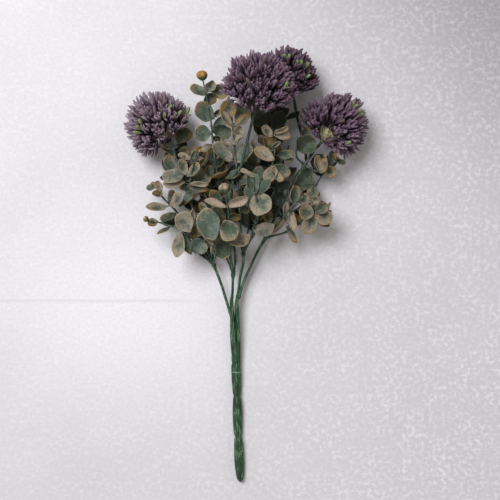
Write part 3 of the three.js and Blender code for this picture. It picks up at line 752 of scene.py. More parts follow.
def settle(room, own, route, at, turn, opening, face, size, tries, space):
    """The first try at a leaf that is clear of all that is in place, as a list of one leaf or none."""
    foot, tangent = route.at(at), route.way(at)
    length, width = size
    for about, wider, roll, share in tries:
        leaf = leaf_on_stem(
            foot, tangent, math.radians(turn + about), math.radians(opening + wider),
            face + roll, length * share, width * share,
        )
        if room.is_clear(leaf, own, space):
            room.leaves.append(leaf)
            return [leaf]
    return []


def place_leaves(room, sprig, draw):
    """The leaves of a sprig, found in the same way as those of its solid."""
    route = sprig_route(sprig)
    leaves = []
    for pair in range(sprig["pairs"]):
        share = pair / (sprig["pairs"] - 1)
        at = sprig["low"] + (TOP_PAIR - sprig["low"]) * share
        turn = sprig["turn"] + 90 * pair + draw.spread(TURN_SPREAD)
        for side in (0, 180):
            length = mean_length(sprig, share) * (1 + draw.spread(LENGTH_SPREAD))
            width = length * LEAF_WIDTH * (1 + draw.spread(WIDTH_SPREAD))
            opening = mean_opening(share) + draw.spread(OPEN_SPREAD)
            face = sprig["face"] * (LEAST_FACE + FACE_RANGE * draw.next())
            leaves += settle(
                room, sprig["name"], route, at, turn + side, opening, face, (length, width), TRIES, LEAF_ROOM
            )
    return leaves


def place_more_leaves(room, sprig, draw):
    """Leaves between the pairs of a low sprig, wherever the spray still has room for one."""
    route = sprig_route(sprig)
    if route.at(HEIGHT_AT)[2] > HIGH_OVER:
        return []
    leaves = []
    gap = (TOP_PAIR - sprig["low"]) / (sprig["pairs"] - 1)
    for pair in range(sprig["pairs"]):
        at = sprig["low"] + gap * (pair - 0.5)
        if at < MORE_FROM:
            continue
        share = max(0, (pair - 0.5) / (sprig["pairs"] - 1))
        turn = sprig["turn"] + 90 * pair - 45 + draw.spread(MORE_TURN_SPREAD)
        for side in (0, 90, 180, 270):
            length = mean_length(sprig, share) * (MORE_SIZE + draw.spread(MORE_SIZE_SPREAD))
            opening = mean_opening(share) + draw.spread(OPEN_SPREAD)
            face = LEAST_FACE + FACE_RANGE * draw.next()
            size = (length, length * LEAF_WIDTH)
            leaves += settle(
                room, sprig["name"], route, at, turn + side, opening, face, size, MORE_TRIES, MORE_ROOM
            )
    return leaves


def all_leaves(room):
    """The leaves of every sprig, and then those between them, each found with its own seed."""
    found = [place_leaves(room, sprig, Draw(LEAF_SEED + index)) for index, sprig in enumerate(SPRIGS)]
    for index, sprig in enumerate(SPRIGS):
        found[index] += place_more_leaves(room, sprig, Draw(MORE_LEAVES_SEED + index))
    return found


# ------------------------------------------------------------------ modelling
def deselect_all():
    for obj in bpy.context.selected_objects:
        obj.select_set(False)


def edit(obj):
    deselect_all()
    bpy.context.view_layer.objects.active = obj
    obj.select_set(True)
    bpy.ops.object.mode_set(mode="EDIT")


def leave_edit():
    bpy.ops.object.mode_set(mode="OBJECT")


def take_mesh(obj):
    """The mesh of a finished template, whose object goes."""
    mesh = obj.data
    bpy.data.objects.remove(obj)
    return mesh


def points_of(mesh):
    flat = np.zeros(len(mesh.vertices) * 3)
    mesh.vertices.foreach_get("co", flat)
    return flat.reshape(-1, 3)


def set_points(mesh, points):
    mesh.vertices.foreach_set("co", points.ravel())
    mesh.update()


def set_value(mesh, name, values):
    attribute = mesh.attributes.get(name) or mesh.attributes.new(name, "FLOAT", "POINT")
    attribute.data.foreach_set("value", np.broadcast_to(values, len(mesh.vertices)).astype(np.float32))


def linked(name, mesh):
    obj = bpy.data.objects.new(name, mesh)
    bpy.context.scene.collection.objects.link(obj)
    return obj


def joined(name, objects):
    deselect_all()
    for obj in objects:
        obj.select_set(True)
    bpy.context.view_layer.objects.active = objects[0]
    bpy.ops.object.join()
    whole = bpy.context.view_layer.objects.active
    whole.name = name
    whole.data.name = name
    bpy.ops.object.shade_smooth()
    return whole


def turned(profile, sides, material):
    """A closed round form: a disc that is extruded up through (height, radius) steps, the last a point."""
    deselect_all()
    height, radius = profile[0]
    bpy.ops.mesh.primitive_circle_add(
        vertices=sides, radius=radius, fill_type="NGON", location=(0, 0, height), enter_editmode=False
    )
    obj = bpy.context.object
    bpy.ops.object.transform_apply(location=True, rotation=True, scale=True)
    edit(obj)
    bpy.ops.mesh.select_all(action="SELECT")
    for next_height, next_radius in profile[1:]:
        bpy.ops.mesh.extrude_region_move(TRANSFORM_OT_translate={"value": (0, 0, next_height - height)})
        if next_radius > 0:
            scale = next_radius / radius
            bpy.ops.transform.resize(value=(scale, scale, 1), center_override=(0, 0, next_height))
            radius = next_radius
        else:
            bpy.ops.mesh.merge(type="CENTER")
        height = next_height
    bpy.ops.mesh.select_all(action="SELECT")
    bpy.ops.mesh.normals_make_consistent(inside=False)
    leave_edit()
    obj.data.materials.append(material)
    return take_mesh(obj)


MERGED_WITHIN = 0.00002  # metres


def tube(points, radii, material, detail=2):
    """A round stem along points (mm), with a radius for each of them."""
    deselect_all()
    bpy.ops.curve.primitive_bezier_curve_add(location=(0, 0, 0))
    obj = bpy.context.object
    curve = obj.data
    curve.splines.clear()
    spline = curve.splines.new("POLY")
    spline.points.add(len(points) - 1)
    for place, point, radius in zip(spline.points, points, radii):
        place.co = (*(point * MM), 1)
        place.radius = radius
    curve.dimensions = "3D"
    curve.bevel_depth = MM
    curve.bevel_resolution = detail
    curve.use_fill_caps = True
    bpy.ops.object.convert(target="MESH")
    obj = bpy.context.object
    obj.data.materials.clear()
    obj.data.materials.append(material)
    edit(obj)
    bpy.ops.mesh.select_all(action="SELECT")
    bpy.ops.mesh.remove_doubles(threshold=MERGED_WITHIN)
    bpy.ops.mesh.normals_make_consistent(inside=False)
    leave_edit()
    return obj


def basis(along, up):
    """Columns along, across and up, from two ways that need not be quite square to each other."""
    along = unit(along)
    up = unit(up - along * (up @ along))
    return np.stack([along, np.cross(up, along), up], axis=1)


def finished(obj, node):
    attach(obj, BODY)
    if node:
        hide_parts(node)


# ------------------------------------------------------------------ materials
def linear(colour):
    """A colour as a screen shows it, given as 0 to 255, as the shaders count it."""
    shares = [channel / 255 for channel in colour]
    return [s / 12.92 if s <= 0.04045 else ((s + 0.055) / 1.055) ** 2.4 for s in shares]


class Wire:
    """A socket that takes part in sums: each operator adds its Math node."""

    def __init__(self, board, socket):
        self.board = board
        self.socket = socket

    def maths(self, operation, *values):
        return self.board.add("ShaderNodeMath", {"operation": operation}, dict(enumerate(values)))

    def __add__(self, other):
        return self.maths("ADD", self, other)

    def __sub__(self, other):
        return self.maths("SUBTRACT", self, other)

    def __rsub__(self, other):
        return self.maths("SUBTRACT", other, self)

    def __mul__(self, other):
        return self.maths("MULTIPLY", self, other)

    def __pow__(self, other):
        return self.maths("POWER", self, other)

    __radd__ = __add__
    __rmul__ = __mul__

    def absolute(self):
        return self.maths("ABSOLUTE", self)

    def root(self):
        return self.maths("SQRT", self)

    def sine(self):
        return self.maths("SINE", self)

    def rise(self, low, high):
        """0 below low, 1 above high, and smooth between."""
        settings = {"interpolation_type": "SMOOTHSTEP"}
        return self.board.add("ShaderNodeMapRange", settings, {0: self, 1: low, 2: high, 3: 0.0, 4: 1.0})

    def fall(self, low, high):
        """1 below low, 0 above high, and smooth between."""
        return 1 - self.rise(low, high)


class Board:
    """The nodes of one material."""

    def __init__(self, name):
        self.material = bpy.data.materials.new(name)
        self.material.use_nodes = True
        self.nodes = self.material.node_tree.nodes
        self.links = self.material.node_tree.links
        self.nodes.clear()

    def add(self, kind, settings, inputs, output=0):
        """A node of a kind: its settings first, then the values or links of its sockets."""
        node = self.nodes.new(kind)
        for key, value in settings.items():
            setattr(node, key, value)
        for key, value in inputs.items():
            if isinstance(value, Wire):
                self.links.new(value.socket, node.inputs[key])
            else:
                node.inputs[key].default_value = value
        return Wire(self, node.outputs[output])

    def values(self, *names):
        """The values that the pieces' meshes hold under these names."""
        return [self.add("ShaderNodeAttribute", {"attribute_name": name}, {}, "Fac") for name in names]

    def place(self, stretch=(1, 1, 1)):
        """The point on the piece, in metres, stretched along each axis."""
        there = self.add("ShaderNodeTexCoord", {}, {}, "Object")
        return self.add("ShaderNodeMapping", {}, {"Vector": there, "Scale": stretch})

    def axis(self, place, name):
        return self.add("ShaderNodeSeparateXYZ", {}, {"Vector": place}, name)

    def noise(self, place, scale, detail=3.0, roughness=0.55):
        inputs = {"Vector": place, "Scale": scale, "Detail": detail, "Roughness": roughness}
        return self.add("ShaderNodeTexNoise", {}, inputs, "Fac")

    def mix(self, share, *pair):
        """Two colours, each a wire or as a screen shows it, with the share of the second."""
        first, second = (c if isinstance(c, Wire) else (*linear(c), 1) for c in pair)
        return self.add("ShaderNodeMix", {"data_type": "RGBA"}, {0: share, 6: first, 7: second}, 2)

    def coats(self, body, *coats):
        """A colour with others laid over it in turn, each with the share that it covers."""
        for share, colour in coats:
            body = self.mix(share, body, colour)
        return body

    def bump(self, height, distance, strength=1.0):
        inputs = {"Height": height, "Distance": distance, "Strength": strength}
        return self.add("ShaderNodeBump", {}, inputs)

    def finish(self, colour, roughness, bump, **more):
        """The material, from its surface's sockets."""
        sockets = {"Base Color": colour, "Roughness": roughness, "Normal": bump}
        sockets |= {key.replace("_", " "): value for key, value in more.items()}
        surface = self.add("ShaderNodeBsdfPrincipled", {}, sockets, "BSDF")
        output = self.nodes.new("ShaderNodeOutputMaterial")
        self.links.new(surface.socket, output.inputs["Surface"])
        return self.material


def floret_material(look):
    """Powdery plum plastic with pinkish and powdery florets, and painted shade deep in the head and in the
    florets' grooves.
    """
    board = Board("floret_purple")
    along, groove, tint, frost, odd = board.values("along", "groove", "tint", "frost", "odd")
    place = board.place()
    cloud = board.noise(place, 130.0, 2.0)
    grain = board.noise(place, 1500.0, 3.0)
    is_odd = odd.rise(0.4, 0.6)
    powder = (along + grain * 0.5 - 0.2).rise(0.6, 1.0) * frost * (0.35 + tint * 0.5)
    body = board.coats(
        board.mix(tint, look.purple, look.lilac),
        (cloud.rise(0.5, 0.66) * 0.6, look.pink),
        (is_odd, board.mix(tint, look.green, look.olive)),
        (odd.rise(1.4, 1.6), look.taupe),
        (odd.rise(2.4, 2.6), look.whitish),
        (powder * (1 - is_odd * 0.85), look.tip),
        # Painted shade in the florets' grooves.
        (groove * 0.55, look.depth),
    )
    # Painted shade: lit darkens each floret towards its foot, deep in the head.
    lit = (along + (grain - 0.5) * 0.2).rise(0.3, 0.72)
    bump = board.bump(grain - groove * 0.4, 0.00025)
    return board.finish(
        board.mix(lit, look.depth, body), 0.42 + grain * 0.3, bump, Specular_IOR_Level=0.5, Sheen_Weight=0.05
    )


def leaf_material(look):
    """Frosted plastic leaf: darker green near its root as painted shade, pinkish-beige towards the rim,
    ochre at some edges, a painted highlight on the very rim, and painted shade deep in the spray.
    """
    board = Board("leaf_frosted")
    there = board.add("ShaderNodeUVMap", {"uv_map": "UVMap"}, {})
    x, y = board.axis(there, "X"), board.axis(there, "Y")
    tint, rim, frost, under, painted_shade = board.values("tint", "rim", "frost", "under", "painted_shade")
    place = board.place()
    cloud = board.noise(place, 150.0, 4.0, 0.6)
    mottle = board.noise(place, 620.0, 5.0, 0.72)
    patch = board.noise(place, 85.0, 2.0)
    from_middle = ((x * 2 - 1) ** 2 + (y * 2 - 1) ** 2).root()
    off_rib = (y * 2 - 1).absolute()
    rib = off_rib.fall(0.015, 0.05)
    # Painted shade: near_root darkens the leaf towards its root and middle.
    near_root = (x * 0.6 + from_middle * 0.4 + cloud * 0.5 - 0.25).fall(0.05, 0.7)
    ragged = (patch - 0.5) * 1.4 + (cloud - 0.5) * 0.9 + (mottle - 0.5) * 0.8
    outer = from_middle * 0.9 + x * 0.35 + ragged
    worn = patch.rise(0.32, 0.56) * rim
    distal = from_middle * 0.6 + x * 0.4 + (cloud - 0.5) * 1.0 + (mottle - 0.5) * 0.3 + rim * rim * 0.09
    # Painted highlight: edge lights the very rim of the leaf.
    edge = (from_middle + (mottle - 0.5) * 0.16).rise(0.9, 1.0)
    body = board.coats(
        board.mix(tint, look.green, look.teal),
        (cloud.rise(0.42, 0.66) * (0.1 + tint * 0.45), look.sage),
        (near_root * 0.8, look.root),
        ((outer + frost * 0.8).rise(0.88, 1.65) * (0.3 + frost * 0.5), look.beige),
        (under * (0.2 + frost * 0.4), board.mix(mottle.rise(0.35, 0.7) * 0.5, look.under, look.pale)),
        (distal.rise(0.68, 1.1) * worn * 0.72, look.ochre),
        (edge * cloud.rise(0.42, 0.62) * 0.8, look.edge),
        (rib * 0.14 * x.fall(0.7, 0.95), look.pale),
        (mottle.rise(0.5, 0.68) * 0.34, look.pale),
        (mottle.fall(0.34, 0.5) * 0.5, look.root),
        # Painted shade on leaves deep in the spray.
        (painted_shade * 0.85, look.painted_shade),
    )
    side_veins = ((off_rib * 1.1 - x) * 34.0).sine()
    bump = board.bump(mottle * 0.7 + side_veins * 0.14 + rib * 0.5, 0.0005, 0.9)
    return board.finish(body, 0.34 + mottle * 0.26 + frost * 0.16, bump, Specular_IOR_Level=0.42)


RING_Y = -0.088  # metres; where a thin pale line runs round the twisted stem
RING_HALF = (0.0002, 0.0006)  # metres; where its half width begins to fade and ends


def stem_material(look, name, colour, upper, worn, roughness):
    """Moulded green plastic with streaks along it, paler on its ridges as painted highlight and darker
    between them as painted shade, and another green above.
    """
    board = Board(name)
    place = board.place()
    y = board.axis(place, "Y")
    streaks = board.noise(board.place((1, 0.16, 1)), 700.0, 4.0, 0.6)
    cloud = board.noise(place, 60.0, 3.0)
    grain = board.noise(place, 1600.0, 2.0)
    body = board.coats(
        board.mix(y.rise(0.0, 0.06), colour, upper),
        (cloud.rise(0.35, 0.65) * 0.6, look.dark),
        # Painted highlight along the raised streaks.
        (streaks.rise(0.5, 0.66) * 0.7, worn),
        ((grain * streaks).rise(0.3, 0.4) * 0.6, look.scuff),
        # Painted shade between the raised streaks.
        (streaks.fall(0.36, 0.48) * 0.6, look.dark),
        ((y - RING_Y).absolute().fall(*RING_HALF) * 0.5, look.scuff),
    )
    bump = board.bump(streaks * 0.8 + grain * 0.3, 0.0004, 0.8)
    return board.finish(body, roughness + streaks * 0.25, bump, Specular_IOR_Level=0.4)


def bud_material(look):
    """A bud: green where it grows from the stem and ochre on top if it is ripe, with fine speckles and
    painted shade in its folds.
    """
    board = Board("bud_ochre")
    along, ripe, fold = board.values("along", "ripe", "fold")
    place = board.place()
    speckle = board.noise(place, 1100.0, 3.0)
    cloud = board.noise(place, 300.0, 2.0)
    upper = (along + ripe * 0.3 + (cloud - 0.5) * 0.5).rise(0.5, 0.8)
    body = board.coats(
        board.mix(upper, look.green, board.mix(ripe, look.beige, look.bud)),
        (speckle.rise(0.46, 0.64) * 0.6, look.brown),
        # Painted shade in the bud's folds.
        (fold.rise(0.4, 1.0) * (0.75 - ripe * 0.4), look.root),
    )
    return board.finish(body, 0.55 + speckle * 0.25, board.bump(speckle, 0.0003))


def calyx_material(look):
    board = Board("calyx_green")
    cloud = board.noise(board.place(), 350.0, 3.0)
    body = board.mix(cloud.rise(0.45, 0.7) * 0.7, look.heads.calyx, look.stems.dark)
    return board.finish(body, 0.6 + cloud * 0.2, board.bump(cloud, 0.0012))


# On the table, in metres: the middle of the painted pool of light by the spray, and the line of painted
# shade along a faint crease, with its half width and where it fades out.
GLOW_X, GLOW_Y = -0.08, -0.03
CREASE_Y = -0.0284
CREASE_HALF = 0.0022
CREASE_END = (-0.07, -0.02)


def table_material(look):
    """A pale cloth with a faint pattern of paler blotches, with painted shade towards its right side, its
    lower left and along a faint crease, a painted shadow in its far right corner, and a painted pool of
    light by the spray.
    """
    board = Board("table_pale")
    place = board.place()
    x, y = board.axis(place, "X"), board.axis(place, "Y")
    cloud = board.noise(place, 9.0, 3.0)
    patches = board.noise(place, 45.0, 2.0).rise(0.35, 0.6)
    blotch = board.noise(place, 270.0, 2.6, 0.6).rise(0.43, 0.67) * (0.45 + patches * 0.55)
    fibre = board.noise(place, 420.0, 3.0, 0.6)
    # Painted shade: right greys the cloth towards its right side.
    right = (x * 2.4 + y * 0.1).rise(-0.5, 0.66)
    # Painted shadow: corner darkens the far right corner.
    corner = (x + y * 1.1).rise(0.16, 0.56) * (x**2 + y**2).root().fall(0.4, 0.9)
    # Painted light: glow brightens the ground by the spray.
    glow = ((x - GLOW_X) ** 2 + (y - GLOW_Y) ** 2).root().fall(0.02, 0.15)
    # Painted reflection: low_right strengthens the pale pattern towards the lower right.
    low_right = (0 - y).rise(0.0, 0.16) * right
    # Painted shade along a faint crease in the cloth.
    crease = (y - CREASE_Y + (cloud - 0.5) * 0.004).absolute().fall(0.0, CREASE_HALF) * x.fall(*CREASE_END)
    body = board.coats(
        look.table,
        (cloud.rise(0.3, 0.7) * 0.3, look.table_shade),
        (right * 0.68, look.table_shade),
        (corner, look.table_corner_shadow),
        (glow * 0.65, look.table_pattern_and_light),
        # Painted shade towards the lower left.
        ((0 - y).rise(0.02, 0.22) * (1 - right) * 0.4, look.table_shade),
        # The cloth's pattern, stronger to the right as painted reflection and weaker in the corner's painted
        # shadow.
        (blotch * (0.3 + right * 0.2 + low_right * 0.22) * (1 - corner * 0.7), look.table_pattern_and_light),
        (fibre.rise(0.4, 0.75) * 0.25, look.table_shade),
        # Painted shade along the crease.
        (crease * 0.35, look.table_shade),
    )
    bump = board.bump(fibre * 0.5 + blotch * 0.3, 0.0006, 0.5)
    return board.finish(body, 0.9, bump, Specular_IOR_Level=0.15)


# ------------------------------------------------------------------ what a user may change
def colour_of(red, green, blue, name, description):
    return FloatVectorProperty(
        name=name, description=description, default=(red, green, blue), size=3, min=0, max=255
    )


class HeadLook(bpy.types.PropertyGroup):
    places: IntProperty(
        name="Places", description="Florets on a whole head, with the bare places round its neck",
        default=800, min=60, max=1200,
    )
    clusters: IntProperty(
        name="Clusters", description="Twigs on a whole head, each with its bunch of florets",
        default=64, min=8, max=200,
    )
    width: FloatProperty(
        name="Floret width", description="The widest part of a floret",
        default=0.00205, min=0.001, unit="LENGTH",
    )
    purple: colour_of(84, 56, 82, "Purple", "The florets' sides")
    lilac: colour_of(122, 96, 122, "Lilac", "The paler florets' sides")
    pink: colour_of(138, 86, 114, "Pink", "Pinkish florets")
    # Painted shade, laid at the florets' feet, in their grooves, and over the twigs and the heart.
    depth: colour_of(34, 18, 28, "Depth", "The florets' feet and grooves")
    tip: colour_of(164, 146, 160, "Tip", "The powder on the tips")
    green: colour_of(146, 178, 100, "Green", "The few unripe florets")
    olive: colour_of(132, 146, 90, "Olive", "Unripe florets that begin to turn")
    taupe: colour_of(112, 98, 92, "Taupe", "The few faded florets")
    # A few near-white florets.
    whitish: colour_of(238, 232, 234, "Bleached", "Florets without their colour")
    calyx: colour_of(158, 156, 114, "Calyx", "The foot that the florets spring from")


class LeafLook(bpy.types.PropertyGroup):
    grow: FloatProperty(
        name="Growth", description="Size of a leaf, as a share of its solid's", subtype="FACTOR",
        default=1.12, min=0.5, max=1.5,
    )
    green: colour_of(62, 80, 58, "Green", "A leaf's middle")
    teal: colour_of(84, 103, 91, "Teal", "A bluer leaf's middle")
    sage: colour_of(128, 134, 120, "Sage", "Clouds on the middle")
    pale: colour_of(152, 152, 138, "Pale", "Frost and ribs")
    # Painted shade near the stem and in a bud's folds; also the leaves' dark mottles.
    root: colour_of(38, 48, 35, "Root", "Near the stem")
    beige: colour_of(168, 150, 132, "Beige", "The outer half")
    under: colour_of(112, 100, 84, "Underside", "The back of a leaf")
    ochre: colour_of(148, 117, 60, "Ochre", "The rim")
    brown: colour_of(84, 64, 40, "Brown", "Speckles on the buds")
    bud: colour_of(172, 126, 52, "Bud", "The top of a ripe bud")
    # Painted highlight on the very rim of a leaf.
    edge: colour_of(184, 164, 124, "Edge", "The very edge, where it is worn")
    painted_shade: colour_of(20, 23, 16, "Gloom", "Leaves deep in the spray")


class StemLook(bpy.types.PropertyGroup):
    bound: colour_of(32, 74, 42, "Bound stem", "The twisted stem")
    stalk: colour_of(34, 76, 54, "Stalks", "The stalks below the leaves")
    upper: colour_of(38, 58, 50, "Upper stalks", "The stalks among the leaves")
    sprig: colour_of(52, 70, 58, "Sprigs", "The leafy stems")
    # Also the painted shade on the rear stalk's upper part.
    dark: colour_of(18, 36, 24, "Dark", "Clouds in the green")
    # Painted highlight: the pale streaks along the ridges of the twisted stem, and of the stalks and sprigs.
    worn: colour_of(78, 118, 80, "Worn", "Lengthwise streaks on the twisted stem")
    streak_highlight: colour_of(92, 112, 96, "Worn sprigs", "Lengthwise streaks among the leaves")
    scuff: colour_of(156, 176, 156, "Scuffs", "Small pale marks")


class StageLook(bpy.types.PropertyGroup):
    view: FloatProperty(
        name="View", description="Width of the table that the picture shows", default=0.425, unit="LENGTH"
    )
    table: colour_of(221, 219, 223, "Table", "The ground")
    # Painted shade towards the right, the lower left and along the crease; also the cloth's faint clouds and
    # fibres.
    table_shade: colour_of(194, 192, 199, "Table shade", "The ground towards its right side")
    # The cloth's pale pattern, and the painted pool of light by the spray.
    table_pattern_and_light: colour_of(236, 236, 242, "Table light", "The woven pattern of the ground")
    # Painted shadow in the far right corner.
    table_corner_shadow: colour_of(144, 142, 145, "Table corner", "The far right corner of the ground")


class SprayLook(bpy.types.PropertyGroup):
    heads: PointerProperty(type=HeadLook, name="Heads", description="The pompon heads")
    leaves: PointerProperty(type=LeafLook, name="Leaves", description="The sprigs' leaves and buds")
    stems: PointerProperty(type=StemLook, name="Stems", description="Everything green and round")
    stage: PointerProperty(type=StageLook, name="Stage", description="Table, light and camera")


# ------------------------------------------------------------------ the heads
FLORET_PROFILE = [(0, 0.32), (0.36, 0.42), (0.62, 0.86), (0.83, 1.0), (0.95, 0.72), (1.0, 0)]
FAT_PROFILE = [(0, 0.24), (0.46, 0.34), (0.66, 0.84), (0.81, 1.0), (0.94, 0.78), (1.0, 0)]
TWIG_PROFILE = [(0, 1.0), (0.6, 0.8), (1.0, 0)]
HEART_PROFILE = [
    (-1, 0.35), (-0.7, 0.72), (-0.25, 0.97), (0.25, 0.97), (0.7, 0.72), (0.95, 0.32), (1.0, 0),
]
FLORET_SIDES = 8
TWIG_SIDES = 5
HEART_SIDES = 16
GROOVE = 0.8  # of a floret's radius, at every other corner
FAN_BACK = 0.52  # how far behind the head's middle the twigs spring from, of its radius
TWIG_END = 0.58  # where a twig forks into florets, of the way to their tips
TWIG_RADIUS = 0.55
TWIG_BEND = (0.05, 0.05)
CLUSTER_JITTER = 0.09
FLORET_JITTER = 0.1
FOOT_JITTER = 1.5
SIZE_SPREAD = 0.18
BEND_SPREAD = 0.45
REACH_SPREAD = 0.06
REACH_STEP = 0.25  # by which a floret is drawn in until it is clear of the table
LAYERS = [(1, 0.86, 1.03), (2, 0.7, 0.86)]  # one in how many places, and how far they reach, of the radius
GATHER = 0.18  # how much a floret leans to the middle of its cluster
SPARSE_EDGE = 14  # degrees at a head's lower edge where florets are missing
FLORET_ROOM = 0.6  # between a floret's tip and the table's room
LEAST_REACH = 0.5  # of the head's radius
NEXT_HEAD = 1.02  # how far the front head keeps the rear head's florets off, of its radius
ODD_REACH = 1.04
ODD_SIZE, ODD_SIZE_MORE = 1.4, 0.2
WHITISH_REACH = 1.1
WHITISH_SIZE = 1.1
HANGING_SIZE = 1.2
HANGING_HEIGHT, HANGING_SPREAD = -2, 3  # of its tip, from the head's middle
HANGING_FROM = 0.3  # of the way to a hanging floret's tip
# Painted shade: the inner layer, the twigs and the heart get less painted light, so the shade colour covers
# more of them.
INNER_LIGHT = 0.72  # how light the inner layer, the twigs and the heart are
TWIG_LIGHT = 0.66
HEART_LIGHT = 0.2
DULL = {"tint": 0.6, "frost": 0, "odd": 0, "groove": 0}

# Of the head's radius: how large its heart is, and how far that lies from the head's middle to its crown.
HEART = {"left": 0.42, "right": 0.42, "front": 0.56, "rear": 0.45}
HEART_FURTHER = {"left": 0.1, "right": 0.18, "front": -0.08, "rear": 0.1}

# The share of florets that are missing in the sparse edge, how many degrees they go past the solid's edge,
# and how much further they reach at the crown.
MISSING = {"left": 0.4, "right": 0.4, "front": 0.05, "rear": 0.3}
COVER_MORE = {"left": -9, "right": 0, "front": 5, "rear": 3}
CROWN_MORE = {"left": 0.07, "right": 0.05, "front": 0, "rear": 0}

# How far a head's florets are drawn in above and below its middle, as seen in the photo.
FLATTER = {"front": (0.93, 0.74)}

# Where a calyx is seen from above between florets (x, y, radius).
CALYX_VIEW = {"right": (65, 110.5, 5.5)}
CALYX_VIEW_POINTS = 6  # along each floret, that are tested against it

# Ways that no such piece runs in; they set how it is turned about its length.
FLORET_ACROSS = (0.31, 0.52, 0.8)
CALYX_ACROSS = (0.2, 0.1, 1)
BUD_ACROSS = (0.3, 0.2, 1)


def spread_directions(count):
    """Places spread evenly over a ball, from the crown down."""
    golden = math.pi * (3 - math.sqrt(5))
    i = np.arange(count)
    height = 1 - (2 * i + 1) / count
    reach = np.sqrt(1 - height * height)
    return np.stack([reach * np.cos(i * golden), reach * np.sin(i * golden), height], axis=1)


def grooved(template, sides):
    """Press every other corner of a round template in, and note where."""
    points = points_of(template)
    corner = np.round(np.arctan2(points[:, 1], points[:, 0]) / (2 * math.pi / sides)) % 2
    points[:, :2] *= np.where(corner > 0.5, GROOVE, 1)[:, None]
    set_points(template, points)
    set_value(template, "groove", corner)
    return template


def stretched(template, base, tip, radius, bend):
    """A template's points, stretched from base to tip and bent aside."""
    way = tip - base
    length = np.linalg.norm(way)
    way = way / length
    side = unit(np.cross(way, FLORET_ACROSS))
    other = np.cross(way, side)
    points = points_of(template)
    curve = points[:, 2] * (1 - points[:, 2]) * length
    return (
        base
        + np.outer(points[:, 2] * length, way)
        + np.outer(points[:, 0] * radius + curve * bend[0], side)
        + np.outer(points[:, 1] * radius + curve * bend[1], other)
    )


class Floret:
    """A floret's tip, its cluster and its looks. One that hangs has a base of its own."""

    def __init__(self, tip, cluster, layer, draw):
        self.tip, self.cluster, self.layer = tip, cluster, layer
        self.size = 1 + draw.spread(SIZE_SPREAD)
        self.tint = draw.next()
        self.bend = (draw.spread(BEND_SPREAD), draw.spread(BEND_SPREAD))
        self.jitter = np.array([draw.spread(FOOT_JITTER) for _ in range(3)])
        self.kind = PLAIN
        self.base = None


